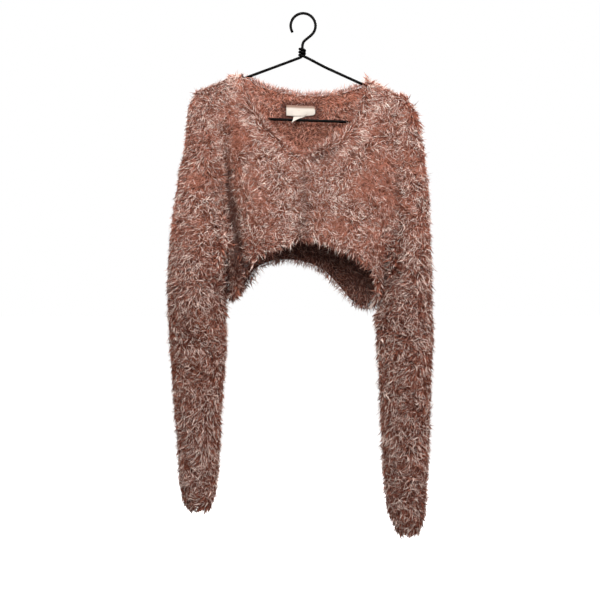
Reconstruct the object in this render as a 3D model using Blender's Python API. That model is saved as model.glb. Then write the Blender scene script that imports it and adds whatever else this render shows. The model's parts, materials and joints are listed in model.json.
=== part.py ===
"""Cropped cardigan in furry eyelash yarn, hanging on a plain wire hanger.

Metres, +Z up, the front faces -Y and the wearer's left is at +X. The origin is the inside top of the hook.
The cloth is one skin of lofted panels and rings, given its wall and then parted along the seams.
"""

import math
from collections import namedtuple

import bmesh
import bpy
import numpy as np

MM = 0.001

# Cloth: a bulky knit with its pile, which stands out on both sides
WALL = 10.0 * MM
SEAM_GAP = 0.3 * MM
RIM_REACH = 3.5 * MM
RIM_STEPS = 4
BAND_STEPS = 3

# Wire hanger
WIRE_RADIUS = 2.1 * MM
HOOK_RADIUS = 18.0 * MM
HOOK_TIP_ANGLE = math.radians(215)
HOOK_FOOT_ANGLE = math.radians(-50)
HOOK_BEND = 12.0 * MM
APEX_DROP = 68.0 * MM
APEX_BEND = 5.0 * MM
SHOULDER_SLOPE = math.radians(22.3)
BAR_DROP = 101.4 * MM
HALF_SPAN = 167.0 * MM
HANGER_TILT = math.radians(2.0)
WRAP_TURNS = 2.25
WRAP_PITCH = 4.7 * MM
WRAP_LEAD_IN = 45.0 * MM
WRAP_LEAD_STEPS = 6
WRAP_STEPS_PER_TURN = 12
WRAP_LIFT = 1.6 * MM
WRAP_CLEARANCE = 0.5 * MM
WRAP_CLEARANCE_STEPS = 3
ARC_STEP = math.radians(16)

# How the cloth hangs: half its depth grows with the drop below the shoulder
RIDGE_RADIUS = WALL + WIRE_RADIUS + 0.9 * MM
DEPTH_GROWTH = 0.095
CORNER_START = 153.0 * MM
CORNER_WIDTH = 24.0 * MM
CORNER_FALL = 4.0 * MM
UNDERARM_ROUND = 38.0 * MM
SIDE_ROUND = 0.22

# Rows of the panels, from the shoulder seam down
ROUND_ROWS = 3
NECK_ROWS = 9
ARMHOLE_ROWS = 15
SIDE_ROWS = 5
CLOSING_ROWS = 3
PLAIN_COLUMNS = 5
BACK_NECK_COLUMNS = 14
FINE = 400
CURVE_POINTS = 200
SHOULDER_SHARE = 0.19
BACK_SIDE_ROUND = 0.10
SLEEVE_RINGS = 25
FAN_RINGS = 11
SHARPEST_SEAM_CORNER = 0.5
SHARP_ANGLE = math.radians(50)

# Sections and edges, in millimetres. Each table runs down from the shoulder or out from the centre.
Edge = namedtuple("Edge", "x z")
NeckRow = namedtuple("NeckRow", "edge_x edge_z seam_x seam_z")
SleeveRow = namedtuple("SleeveRow", "outer_x outer_z inner_x inner_z half_depth")
FoldRow = namedtuple("FoldRow", "x z share")

NECK_POINTS = {"right": (-95.0, -120.3), "left": (104.0, 128.6)}
FRONT_NECK = {
    "right": [
        NeckRow(-92.5, -103.5, -117.8, -112.5),
        NeckRow(-78.2, -142.6, -102.7, -153.9),
        NeckRow(-61.0, -171.0, -82.6, -187.2),
        NeckRow(-35.4, -199.7, -53.8, -218.1),
        NeckRow(-14.0, -219.0, -28.0, -238.5),
        NeckRow(-3.0, -228.0, -3.0, -251.0),
    ],
    "left": [
        NeckRow(96.2, -116.5, 121.0, -127.5),
        NeckRow(87.2, -142.6, 113.8, -151.2),
        NeckRow(79.0, -168.0, 101.0, -188.0),
        NeckRow(59.0, -191.2, 76.0, -217.0),
        NeckRow(27.5, -207.4, 38.0, -233.0),
        NeckRow(-3.0, -228.0, -3.0, -251.0),
    ],
}
BACK_NECK = [
    NeckRow(-87.0, -100.5, -104.0, -117.0),
    NeckRow(-69.0, -110.0, -79.0, -134.0),
    NeckRow(-40.0, -118.0, -46.0, -145.0),
    NeckRow(-5.0, -124.0, -5.0, -150.5),
    NeckRow(35.0, -124.5, 38.0, -151.0),
    NeckRow(62.0, -121.0, 72.0, -146.0),
    NeckRow(82.0, -114.0, 97.0, -139.0),
    NeckRow(97.0, -108.0, 117.0, -130.0),
]
ARMHOLE = {
    "right": [
        Edge(-160, -150), Edge(-146, -178), Edge(-134, -232), Edge(-128, -297), Edge(-126, -345),
        Edge(-123, -377),
    ],
    "left": [
        Edge(163, -155), Edge(159, -180), Edge(154, -217), Edge(149, -297), Edge(143, -350), Edge(135, -385),
    ],
}
SHOULDER_CORNER_X = {"right": -174.0, "left": 166.0}
SIDE_SEAM = {
    "right": [Edge(-123, -377), Edge(-122, -412), Edge(-121, -449)],
    "left": [Edge(135, -385), Edge(131, -417), Edge(127, -450)],
}
CENTRE_FRONT = [Edge(-3, -251), Edge(-1, -305), Edge(1, -361)]
FRONT_HEM = {
    "right": [
        Edge(1, -361), Edge(-30, -374), Edge(-58, -385), Edge(-82, -399), Edge(-95, -420), Edge(-107, -441),
        Edge(-121, -449),
    ],
    "left": [
        Edge(1, -361), Edge(28, -366), Edge(56, -377), Edge(84, -391), Edge(111, -418), Edge(127, -450),
    ],
}
BACK_HEM = [
    Edge(-121, -449), Edge(-108, -449), Edge(-94, -437), Edge(-84, -420), Edge(-74, -407), Edge(-55, -398),
    Edge(-30, -395), Edge(0, -398), Edge(24, -407), Edge(56, -437), Edge(79, -462), Edge(98, -470),
    Edge(113, -466), Edge(127, -450),
]
SLEEVES = {
    "right": [
        SleeveRow(-183.5, -130, -125.0, -384, 25),
        SleeveRow(-188.5, -150, -125.5, -391, 27),
        SleeveRow(-190.0, -190, -126.0, -400, 30),
        SleeveRow(-198.0, -232, -126.5, -411, 34),
        SleeveRow(-204.0, -282, -127.0, -423, 38),
        SleeveRow(-211.0, -325, -127.5, -436, 42),
        SleeveRow(-216.0, -375, -127.5, -449, 45),
        SleeveRow(-218.5, -425, -127.0, -462, 46),
        SleeveRow(-218.4, -473, -125.5, -483, 46),
        SleeveRow(-216.0, -511, -123.0, -515, 45),
        SleeveRow(-212.0, -569, -126.0, -570, 43),
        SleeveRow(-208.0, -626, -130.4, -626, 40),
        SleeveRow(-203.0, -684, -133.6, -684, 36),
        SleeveRow(-200.0, -742, -137.0, -742, 33),
        SleeveRow(-196.0, -774, -141.5, -774, 28),
        SleeveRow(-189.0, -791, -149.0, -791, 21),
    ],
    "left": [
        SleeveRow(175.0, -138, 137.0, -391, 25),
        SleeveRow(182.0, -151, 136.6, -397, 27),
        SleeveRow(185.0, -172, 136.0, -405, 29),
        SleeveRow(190.0, -206, 135.2, -414, 33),
        SleeveRow(197.0, -255, 134.2, -425, 37),
        SleeveRow(199.5, -310, 132.8, -438, 41),
        SleeveRow(203.0, -372, 131.0, -452, 44),
        SleeveRow(204.5, -423, 127.0, -466, 46),
        SleeveRow(205.6, -470, 117.5, -482, 46),
        SleeveRow(207.0, -515, 117.5, -515, 46),
        SleeveRow(204.0, -569, 120.8, -569, 44),
        SleeveRow(202.4, -626, 122.4, -626, 41),
        SleeveRow(200.8, -684, 125.6, -684, 38),
        SleeveRow(197.6, -742, 128.8, -742, 35),
        SleeveRow(196.0, -785, 133.0, -785, 32),
        SleeveRow(192.0, -812, 140.5, -812, 26),
        SleeveRow(184.0, -829, 149.0, -829, 19),
    ],
}

# Folds: how wide each one is, and where it runs with the share of the cloth's half depth that it sinks, or
# rises where negative
FRONT_FOLDS = [
    (9.5 * MM, [
        FoldRow(-123, -175, 0), FoldRow(-120, -217, 0.25), FoldRow(-117, -257, 0.42),
        FoldRow(-114, -314, 0.52), FoldRow(-106, -356, 0.54), FoldRow(-99, -385, 0.48),
        FoldRow(-94, -405, 0.38),
    ]),
    (9.0 * MM, [
        FoldRow(-126, -300, 0), FoldRow(-121, -350, -0.10), FoldRow(-116, -400, -0.28),
        FoldRow(-113, -449, -0.30),
    ]),
    (12.0 * MM, [
        FoldRow(158, -170, 0), FoldRow(153, -217, 0.18), FoldRow(148, -297, 0.26), FoldRow(142, -361, 0.22),
        FoldRow(131, -436, 0.16),
    ]),
    (22.0 * MM, [FoldRow(-60, -250, 0), FoldRow(-55, -300, -0.10), FoldRow(-50, -385, -0.12)]),
    (16.0 * MM, [FoldRow(52, -262, 0), FoldRow(47, -310, 0.10), FoldRow(44, -375, 0.14)]),
    (20.0 * MM, [FoldRow(88, -240, 0), FoldRow(86, -320, -0.09), FoldRow(84, -395, -0.12)]),
]
BACK_FOLDS = [
    (15.0 * MM, [FoldRow(-70, -190, 0), FoldRow(-72, -280, 0.14), FoldRow(-76, -410, 0.24)]),
    (18.0 * MM, [FoldRow(-34, -200, 0), FoldRow(-32, -300, -0.10), FoldRow(-30, -395, -0.16)]),
    (14.0 * MM, [FoldRow(8, -210, 0), FoldRow(10, -300, 0.12), FoldRow(12, -400, 0.20)]),
    (18.0 * MM, [FoldRow(56, -190, 0), FoldRow(60, -300, -0.10), FoldRow(64, -445, -0.16)]),
    (12.0 * MM, [FoldRow(112, -180, 0), FoldRow(106, -280, 0.20), FoldRow(100, -465, 0.26)]),
    (11.0 * MM, [FoldRow(-132, -200, 0), FoldRow(-122, -300, 0.22), FoldRow(-112, -440, 0.24)]),
]

# Satin label and tag inside the back of the neck
LABEL_CENTRE = (-4.4 * MM, -152.6 * MM)
LABEL_SIZE = (47.0 * MM, 18.5 * MM)
LABEL_THICKNESS = 1.0 * MM
LABEL_LIFT = 0.6 * MM
LABEL_ROWS = 3
LABEL_COLUMNS = 8
TAG_THICKNESS = 0.8 * MM
TAG_COLUMNS = 3
TagRow = namedtuple("TagRow", "x width y z")
TAG_ROWS = [
    TagRow(-7.0, 19.0, 8.6, -162.2),
    TagRow(-7.8, 18.0, 4.6, -164.3),
    TagRow(-9.0, 16.0, 0.4, -165.6),
    TagRow(-10.5, 13.0, -3.2, -167.4),
    TagRow(-12.0, 9.0, -3.9, -170.0),
    TagRow(-13.5, 5.0, -4.1, -173.6),
]

CLOTH_COLOUR = (0.33, 0.15, 0.115, 1)
BAND_COLOUR = (0.38, 0.18, 0.14, 1)
SATIN_COLOUR = (0.80, 0.74, 0.68, 1)
WIRE_COLOUR = (0.012, 0.011, 0.011, 1)
YARN_ROUGHNESS = 0.7
SATIN_ROUGHNESS = 0.45
WIRE_ROUGHNESS = 0.3


def smooth(knots, values, places):
    """Cubic through the values at the knots, read at the places, along the values' first axis."""
    knots = np.asarray(knots, float)
    values = np.asarray(values, float)
    places = np.clip(np.atleast_1d(np.asarray(places, float)), knots[0], knots[-1])
    slopes = np.gradient(values, knots, axis=0)
    span = np.clip(np.searchsorted(knots, places, side="right") - 1, 0, len(knots) - 2)
    width = (knots[span + 1] - knots[span]).reshape((-1,) + (1,) * (values.ndim - 1))
    t = (places - knots[span]).reshape(width.shape) / width
    rise = values[span + 1] - values[span]
    start, end = slopes[span] * width, slopes[span + 1] * width
    return values[span] + t * (start + t * (3 * rise - 2 * start - end + t * (start + end - 2 * rise)))


def lengths(points):
    """Distance along a row of points, from its first."""
    steps = np.linalg.norm(np.diff(points, axis=0), axis=1)
    return np.concatenate([[0.0], np.cumsum(steps)])


def resample(points, shares):
    """The points of a smooth curve through a table's rows, at these shares of its length."""
    points = np.asarray(points, float)
    along = lengths(points)
    even = np.linspace(0, along[-1], CURVE_POINTS)
    run = lengths(smooth(along, points, even))
    places = np.interp(np.asarray(shares) * run[-1], run, even)
    return smooth(along, points, places)


def ease(share):
    return share * share * (3 - 2 * share)


def in_metres(rows):
    return np.asarray(rows, float) * MM


def apex():
    return -APEX_DROP * math.sin(HANGER_TILT), -APEX_DROP * math.cos(HANGER_TILT)


def ridge_cover(x):
    """Height of the cloth's outside over the wire, where the wire slopes."""
    slope = SHOULDER_SLOPE + np.where(x < apex()[0], -HANGER_TILT, HANGER_TILT)
    return RIDGE_RADIUS / np.cos(slope)


def ridge_height(x):
    """Height of the shoulder line at x, over the tilted hanger, falling a little at its corners."""
    x = np.asarray(x, float)
    top_x, top_z = apex()
    slope = np.tan(SHOULDER_SLOPE + np.where(x < top_x, -HANGER_TILT, HANGER_TILT))
    corner = np.clip((np.abs(x) - CORNER_START) / CORNER_WIDTH, 0, 2)
    return top_z - slope * np.abs(x - top_x) + ridge_cover(x) - CORNER_FALL * corner**2


def half_depth(x, z):
    """How far the outside stands from the middle plane: round over the wire, then slowly wider."""
    cover = ridge_cover(x)
    drop = np.maximum(ridge_height(x) - z, 0)
    over = np.clip(1 - drop / cover, 0, 1)
    return RIDGE_RADIUS * np.sqrt(1 - over**2) + DEPTH_GROWTH * np.maximum(drop - cover, 0)


def fold_factor(x, z, folds):
    factor = np.ones(np.shape(x))
    for width, rows in folds:
        path = in_metres(rows)[::-1]
        places = np.asarray(z, float).ravel()
        middle = np.interp(places, path[:, 1], path[:, 0]).reshape(np.shape(x))
        share = np.interp(places, path[:, 1], path[:, 2] / MM).reshape(np.shape(x))
        factor = factor * (1 - share * np.exp(-(((x - middle) / width) ** 2) / 2))
    return factor


def cloth(x, z, side, closing=1.0, lift=0.0, tuck=0.0):
    """Pairs of points on the cloth's outside and inside: side is -1 in front and 1 behind.

    Closing narrows the depth to a side seam or underarm, where the inside is lifted or tucked in by its share
    of the wall.
    """
    depth = half_depth(x, z) * fold_factor(x, z, FRONT_FOLDS if side < 0 else BACK_FOLDS)
    cover = ridge_cover(x)
    ridge_centre = ridge_height(x) - cover
    over = np.clip((z - ridge_centre) / cover, 0, 1)
    inner_z = z - np.maximum(z - ridge_centre, 0) * WALL / RIDGE_RADIUS + WALL * lift
    inner_depth = depth - WALL * np.sqrt(1 - over**2)
    outer = np.stack([x, side * closing * depth, z], axis=-1)
    inner = np.stack([x + WALL * tuck, side * closing * inner_depth, inner_z], axis=-1)
    return np.stack([outer, inner], axis=-2)


def down_from_ridge(rows, count, closing_rows=0):
    """Points down an edge that starts on the shoulder line, close together where the cloth rounds over it."""
    fine = resample(rows, np.linspace(0, 1, FINE))
    drop = ridge_height(fine[:, 0]) - fine[:, 1]
    steps = 1 - np.cos(np.linspace(0, math.pi / 2, ROUND_ROWS + 1))
    run = lengths(fine)
    first = np.interp(ridge_cover(fine[0, 0]) * steps, drop, run)
    end = run[-1] - (UNDERARM_ROUND if closing_rows else 0)
    plain = np.linspace(first[-1], end, count - ROUND_ROWS - closing_rows + 1)[1:]
    closing_angles = np.linspace(0, math.pi / 2, closing_rows + 1)[1:]
    places = np.concatenate([first, plain, end + UNDERARM_ROUND * np.sin(closing_angles)])
    points = np.stack([np.interp(places, run, fine[:, 0]), np.interp(places, run, fine[:, 1])], axis=-1)
    points[0] = fine[0]
    points[-1] = fine[-1]
    angles = np.concatenate([np.zeros(count + 1 - closing_rows), closing_angles])
    return points, angles


def on_ridge(x):
    return np.array([x * MM, float(ridge_height(x * MM))])


def neck_lines(which):
    """The front's neck seam and the neck's free edge, as matching points from the shoulder to the centre."""
    edge_x, seam_x = NECK_POINTS[which]
    rows = in_metres(FRONT_NECK[which])
    seam = np.vstack([on_ridge(seam_x), rows[:, 2:]])
    edge = np.vstack([on_ridge(edge_x), rows[:, :2]])
    return down_from_ridge(seam, NECK_ROWS)[0], down_from_ridge(edge, NECK_ROWS)[0]


def across_the_back(rows):
    """Points along an edge between the two shoulder lines, close together where it rounds at both ends."""
    fine = resample(rows, np.linspace(0, 1, FINE))
    drop = ridge_height(fine[:, 0]) - fine[:, 1]
    cover = ridge_cover(fine[:, 0])
    steps = 1 - np.cos(np.linspace(0, math.pi / 2, ROUND_ROWS + 1))
    half = FINE // 2
    run = lengths(fine)
    first = np.interp(cover[0] * steps, drop[:half], run[:half])
    last = np.interp(cover[-1] * steps, drop[:half:-1], run[:half:-1])
    plain = np.linspace(first[-1], last[-1], BACK_NECK_COLUMNS - 2 * ROUND_ROWS + 1)[1:-1]
    places = np.concatenate([first, plain, last[::-1]])
    return np.stack([np.interp(places, run, fine[:, 0]), np.interp(places, run, fine[:, 1])], axis=-1)


def back_neck_lines():
    """The back's neck seam and free edge, from the wearer's right shoulder to the left."""
    rows = in_metres(BACK_NECK)
    lines = []
    for column, columns in ((1, slice(2, 4)), (0, slice(0, 2))):
        ends = [on_ridge(NECK_POINTS[which][column]) for which in ("right", "left")]
        line = across_the_back(np.vstack([ends[0], rows[:, columns], ends[1]]))
        line[0], line[-1] = ends
        lines.append(line)
    return lines


def armhole(which):
    """The armhole from shoulder to underarm, seen from the front, with the angle each point has closed by."""
    corner = on_ridge(SHOULDER_CORNER_X[which])
    return down_from_ridge(np.vstack([corner, in_metres(ARMHOLE[which])]), ARMHOLE_ROWS, CLOSING_ROWS)


def armhole_cloth(which, side):
    flat, angles = armhole(which)
    return cloth(flat[:, 0], flat[:, 1], side, np.cos(angles), np.sin(angles))


def outer_edge(which):
    """A panel's armhole and then its side seam, with each row's closing share, lift and tuck at the edge."""
    points, angles = armhole(which)
    side = resample(in_metres(SIDE_SEAM[which]), np.linspace(0, 1, SIDE_ROWS + 1))
    below = np.zeros(SIDE_ROWS)
    inward = 1 if which == "right" else -1
    lift = np.concatenate([np.sin(angles), below])
    tuck = np.concatenate([np.zeros(len(points)), below + inward])
    closing = np.concatenate([np.cos(angles), below])
    return np.vstack([points, side[1:]]), closing, lift, tuck


def column_shares():
    """Shares of a front panel's width, close together where it rounds to the side seam."""
    plain = np.linspace(0, 1 - SIDE_ROUND, PLAIN_COLUMNS + 1)
    rounded = 1 - SIDE_ROUND + SIDE_ROUND * np.sin(np.linspace(0, math.pi / 2, CLOSING_ROWS + 1)[1:])
    return np.concatenate([plain, rounded])


def nearness(shares, width=SIDE_ROUND):
    """How near each column is to the panel's outer edge: 0 until it starts to round, and 1 at the edge."""
    return np.clip((shares - (1 - width)) / width, 0, 1)


def rounding(near, closing):
    """How the depth of each row narrows towards the edge, to what it is there."""
    return closing[:, None] + (1 - closing[:, None]) * np.sqrt(1 - near**2)[None, :]


def patch(first, last, top, bottom, across, down):
    """Points spanned between four edges that share their corners."""
    u, v = across[None, :, None], down[:, None, None]
    edges = (1 - u) * first[:, None] + u * last[:, None] + (1 - v) * top[None] + v * bottom[None]
    corners = (1 - u) * ((1 - v) * top[0] + v * bottom[0]) + u * ((1 - v) * top[-1] + v * bottom[-1])
    return edges - corners


def share_of_length(points):
    run = lengths(points)
    return run / run[-1]


def ridge_line(which, shares):
    start, end = NECK_POINTS[which][1] * MM, SHOULDER_CORNER_X[which] * MM
    x = start + (end - start) * shares
    return np.stack([x, ridge_height(x)], axis=-1)


def front_panel(which):
    shares = column_shares()
    near = nearness(shares)
    outer, closing, lift, tuck = outer_edge(which)
    centre_rows = len(outer) - 1 - NECK_ROWS
    centre = resample(in_metres(CENTRE_FRONT), np.linspace(0, 1, centre_rows + 1))
    inner = np.vstack([neck_lines(which)[0], centre[1:]])
    hem = resample(in_metres(FRONT_HEM[which]), shares)
    down = (share_of_length(inner) + share_of_length(outer)) / 2
    flat = patch(inner, outer, ridge_line(which, shares), hem, shares, down)
    spread = (rounding(near, closing), lift[:, None] * near**2, tuck[:, None] * near)
    return cloth(flat[..., 0], flat[..., 1], -1, *spread)


def back_panel():
    shares = column_shares()
    right, closing, right_lift, right_tuck = outer_edge("right")
    left, _, left_lift, left_tuck = outer_edge("left")
    neck = back_neck_lines()[0]
    top = np.vstack([ridge_line("right", shares)[::-1], neck[1:-1], ridge_line("left", shares)])
    middle = np.linspace(SHOULDER_SHARE, 1 - SHOULDER_SHARE, len(neck))[1:-1]
    shoulder = np.interp(shares, [0, 1 - SIDE_ROUND, 1], [SHOULDER_SHARE, BACK_SIDE_ROUND, 0])
    across = np.concatenate([shoulder[::-1], middle, 1 - shoulder])
    hem = resample(in_metres(BACK_HEM), across)
    down = (share_of_length(right) + share_of_length(left)) / 2
    flat = patch(right, left, top, hem, across, down)
    near_right, near_left = nearness(1 - across, BACK_SIDE_ROUND), nearness(across, BACK_SIDE_ROUND)
    depth = rounding(near_right, closing) * rounding(near_left, closing)
    lift = right_lift[:, None] * near_right**2 + left_lift[:, None] * near_left**2
    tuck = right_tuck[:, None] * near_right + left_tuck[:, None] * near_left
    return cloth(flat[..., 0], flat[..., 1], 1, depth, lift, tuck)


def neckband_strip():
    """The band's rows across its width, from one front edge round the back of the neck to the other."""
    right_seam, right_edge = neck_lines("right")
    left_seam, left_edge = neck_lines("left")
    back_seam, back_edge = back_neck_lines()
    runs = (
        (right_seam[::-1], right_edge[::-1], -1),
        (back_seam[1:-1], back_edge[1:-1], 1),
        (left_seam, left_edge, -1),
    )
    rows = []
    for seam, edge, side in runs:
        across = np.linspace(0, 1, BAND_STEPS + 1)[:, None, None]
        flat = (1 - across) * seam[None] + across * edge[None]
        rows.append(cloth(flat[..., 0], flat[..., 1], side))
    return np.concatenate(rows, axis=1)


def offset_line(line, towards):
    """A line moved by the wall's thickness, square to itself, to the side of the points given."""
    along = np.gradient(line, axis=0)
    square = np.stack([-along[:, 1], along[:, 0]], axis=-1)
    square /= np.linalg.norm(square, axis=1)[:, None]
    facing = np.sign(np.sum(square * (towards - line), axis=1))
    return line + WALL * facing[:, None] * square


def sleeve_tube(which):
    """Rings from the armhole to the cuff: they fan about the underarm and then hang level."""
    first = {side: armhole_cloth(which, side) for side in (-1, 1)}
    flat = first[-1][:, 0, ::2]
    axis = flat[-1] - flat[0]
    length = np.linalg.norm(axis)
    along = (flat - flat[0]) @ axis / length**2
    bow = (flat - flat[0]) @ np.array([-axis[1], axis[0]]) / length

    rows = in_metres(SLEEVES[which])
    rows = np.vstack([[*flat[0], *flat[-1], rows[0, 4]], rows])
    run = share_of_length((rows[:, :2] + rows[:, 2:4]) / 2)
    sections = smooth(run, rows, np.linspace(0, 1, SLEEVE_RINGS + 1))
    outer_line, inner_line = sections[:, :2], sections[:, 2:4]
    hollow_lines = offset_line(outer_line, inner_line), offset_line(inner_line, outer_line)
    faces = [(outer_line, inner_line, 0.0), (*hollow_lines, WALL)]
    angles = np.linspace(0, math.pi, ARMHOLE_ROWS + 1)

    rings = [join_halves(first)]
    for number in range(1, SLEEVE_RINGS + 1):
        turn = ease(min(number / FAN_RINGS, 1))
        share = ((1 - turn) * along + turn * (1 - np.cos(angles)) / 2)[:, None]
        halves = {side: np.empty_like(first[side]) for side in (-1, 1)}
        for face, (outer, inner, inset) in enumerate(faces):
            across = inner[number] - outer[number]
            sideways = np.array([-across[1], across[0]]) / np.linalg.norm(across)
            spread = outer[number] + share * across + ((1 - turn) * bow)[:, None] * sideways
            for side, folds in ((-1, FRONT_FOLDS), (1, BACK_FOLDS)):
                folded = fold_factor(spread[:, 0], spread[:, 1], folds)
                round_y = side * (sections[number, 4] - inset) * np.sin(angles) * folded
                halves[side][:, face, 0] = spread[:, 0]
                halves[side][:, face, 1] = (1 - turn) * first[side][:, face, 1] + turn * round_y
                halves[side][:, face, 2] = spread[:, 1]
        rings.append(join_halves(halves))
    return np.array(rings)


def join_halves(halves):
    """A ring from its front half, shoulder to underarm, and its back half, which has the same two ends."""
    return np.concatenate([halves[-1], halves[1][-2:0:-1]])


class Skin:
    """All the cloth as one mesh of paired outside and inside points, which pieces share along their seams."""

    def __init__(self):
        self.numbers = {}
        self.outer = []
        self.inner = []
        self.pieces = {}

    def number(self, pair):
        key = tuple(np.round(pair[0], 6) + 0.0)
        if key not in self.numbers:
            self.numbers[key] = len(self.outer)
            self.outer.append(pair[0])
            self.inner.append(pair[1])
        return self.numbers[key]

    def add(self, name, grid, ring=False):
        """Adds a grid of pairs as one piece, facing out, and closed round its second axis if it is a ring."""
        ids = np.array([[self.number(pair) for pair in row] for row in grid])
        if ring:
            ids = np.hstack([ids, ids[:, :1]])
        faces = []
        for above, below in zip(ids[:-1], ids[1:]):
            for left in range(len(above) - 1):
                corners = [above[left], above[left + 1], below[left + 1], below[left]]
                kept = [corner for i, corner in enumerate(corners) if corner != corners[i - 1]]
                if len(kept) > 2:
                    faces.append(kept)
        if self.facing(faces) < 0:
            faces = [face[::-1] for face in faces]
        self.pieces[name] = faces

    def facing(self, faces):
        """Positive where the faces point out in front and behind."""
        total = 0
        for face in faces:
            corners = np.array([self.outer[corner] for corner in face])
            normal = np.cross(corners[2] - corners[0], corners[-1] - corners[1])
            total += normal[1] * corners[:, 1].mean()
        return total

    def seam_edges(self):
        """Edges that two pieces share."""
        owners = {}
        for name, faces in self.pieces.items():
            for face in faces:
                for i, corner in enumerate(face):
                    owners.setdefault(frozenset((face[i - 1], corner)), set()).add(name)
        return {edge for edge, names in owners.items() if len(names) > 1}


def unit(vector):
    return vector / np.linalg.norm(vector)


class Wall:
    """One piece of the skin given its thickness, with square seams and round free edges."""

    def __init__(self, skin, seams, name):
        self.faces = skin.pieces[name]
        self.places = []
        self.solid_faces = []
        self.border = self.border_edges(seams)
        self.leaving = {edge[0]: edge for edge in self.border}
        arriving = {edge[1]: edge for edge in self.border}
        self.ends = {}
        self.rims = {}
        for corner in sorted({corner for face in self.faces for corner in face}):
            outer, inner = skin.outer[corner], skin.inner[corner]
            if corner in self.leaving:
                before, after = arriving[corner], self.leaving[corner]
                push = self.move_in(skin.outer, outer - inner, before, after)
                outer, inner = outer + push, inner + push
                if not (before[2] and after[2]):
                    out = self.way_out(skin.outer, outer - inner, before, after)
                    self.rims[corner] = [self.put(place) for place in self.rim(outer, inner, out)]
                    self.ends[corner] = (self.rims[corner][0], self.rims[corner][-1])
                    continue
            self.ends[corner] = (self.put(outer), self.put(inner))
        self.build()

    def put(self, place):
        self.places.append(place)
        return len(self.places) - 1

    def border_edges(self, seams):
        """Edges of one face only, in that face's order, each with whether it is a seam."""
        found = {}
        for face in self.faces:
            for i, corner in enumerate(face):
                edge = (face[i - 1], corner)
                if edge[::-1] in found:
                    del found[edge[::-1]]
                else:
                    found[edge] = frozenset(edge) in seams
        return [(start, end, seam) for (start, end), seam in found.items()]

    def move_in(self, points, thick, before, after):
        """Half the seam's gap, square to each seam that meets here."""
        seams = [edge for edge in (before, after) if edge[2]]
        if not seams:
            return np.zeros(3)
        ways = [unit(np.cross(thick, points[end] - points[start])) for start, end, _ in seams]
        total = sum(ways)
        return SEAM_GAP / 2 * total / max(np.dot(total, ways[0]), SHARPEST_SEAM_CORNER)

    def way_out(self, points, thick, before, after):
        """Out of the cloth's free edge: along the seam where one ends here, else square to the edge."""
        for edge, here, other in ((before, before[1], before[0]), (after, after[0], after[1])):
            if edge[2]:
                return unit(points[here] - points[other])
        along = unit(points[before[1]] - points[before[0]]) + unit(points[after[1]] - points[after[0]])
        return -unit(np.cross(thick, along))

    def rim(self, outer, inner, out):
        """A round edge from the outside to the inside, which reaches as far as the edge did."""
        half = (outer - inner) / 2
        middle = (outer + inner) / 2 - RIM_REACH * out
        angles = np.linspace(0, math.pi, RIM_STEPS + 1)
        return [middle + math.cos(a) * half + math.sin(a) * RIM_REACH * out for a in angles]

    def build(self):
        for face in self.faces:
            self.solid_faces.append([self.ends[corner][0] for corner in face])
            self.solid_faces.append([self.ends[corner][1] for corner in face[::-1]])
        for start, end, seam in self.border:
            if seam:
                self.add_seam_face(start, end)
                continue
            first, last = self.rims[start], self.rims[end]
            for i in range(RIM_STEPS):
                self.solid_faces.append([last[i], first[i], first[i + 1], last[i + 1]])
        for _, corner, seam in self.border:
            if corner in self.rims and seam != self.leaving[corner][2]:
                profile = self.rims[corner]
                self.solid_faces.append(profile if seam else profile[::-1])

    def add_seam_face(self, start, end):
        """Two triangles whose diagonal both pieces at the seam share, so that their faces stay parallel."""
        (start_out, start_in), (end_out, end_in) = self.ends[start], self.ends[end]
        if start < end:
            self.solid_faces += [[end_out, start_out, end_in], [start_out, start_in, end_in]]
        else:
            self.solid_faces += [[end_out, start_out, start_in], [end_out, start_in, end_in]]


def material(name, colour, roughness):
    made = bpy.data.materials.new(name)
    made.use_nodes = True
    shader = made.node_tree.nodes["Principled BSDF"]
    shader.inputs["Base Color"].default_value = colour
    shader.inputs["Roughness"].default_value = roughness
    made.diffuse_color = colour
    return made


def mesh_object(name, points, faces, look, collection):
    mesh = bpy.data.meshes.new(name)
    mesh.from_pydata([tuple(point) for point in points], [], [[int(i) for i in face] for face in faces])
    mesh.materials.append(look)
    mesh.validate()
    shape = bmesh.new()
    shape.from_mesh(mesh)
    bmesh.ops.recalc_face_normals(shape, faces=shape.faces)
    shape.to_mesh(mesh)
    shape.free()
    mesh.shade_smooth()
    mesh.set_sharp_from_angle(angle=SHARP_ANGLE)
    made = bpy.data.objects.new(name, mesh)
    collection.objects.link(made)
    return made


def make_cloth(collection):
    skin = Skin()
    skin.add("right_front", front_panel("right"))
    skin.add("left_front", front_panel("left"))
    skin.add("back", back_panel())
    skin.add("neckband", neckband_strip())
    skin.add("right_sleeve", sleeve_tube("right"), ring=True)
    skin.add("left_sleeve", sleeve_tube("left"), ring=True)
    seams = skin.seam_edges()
    for name in skin.pieces:
        wall = Wall(skin, seams, name)
        colour = BAND_COLOUR if name == "neckband" else CLOTH_COLOUR
        look = material(name + "_yarn", colour, YARN_ROUGHNESS)
        mesh_object(name, wall.places, wall.solid_faces, look, collection)


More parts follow.
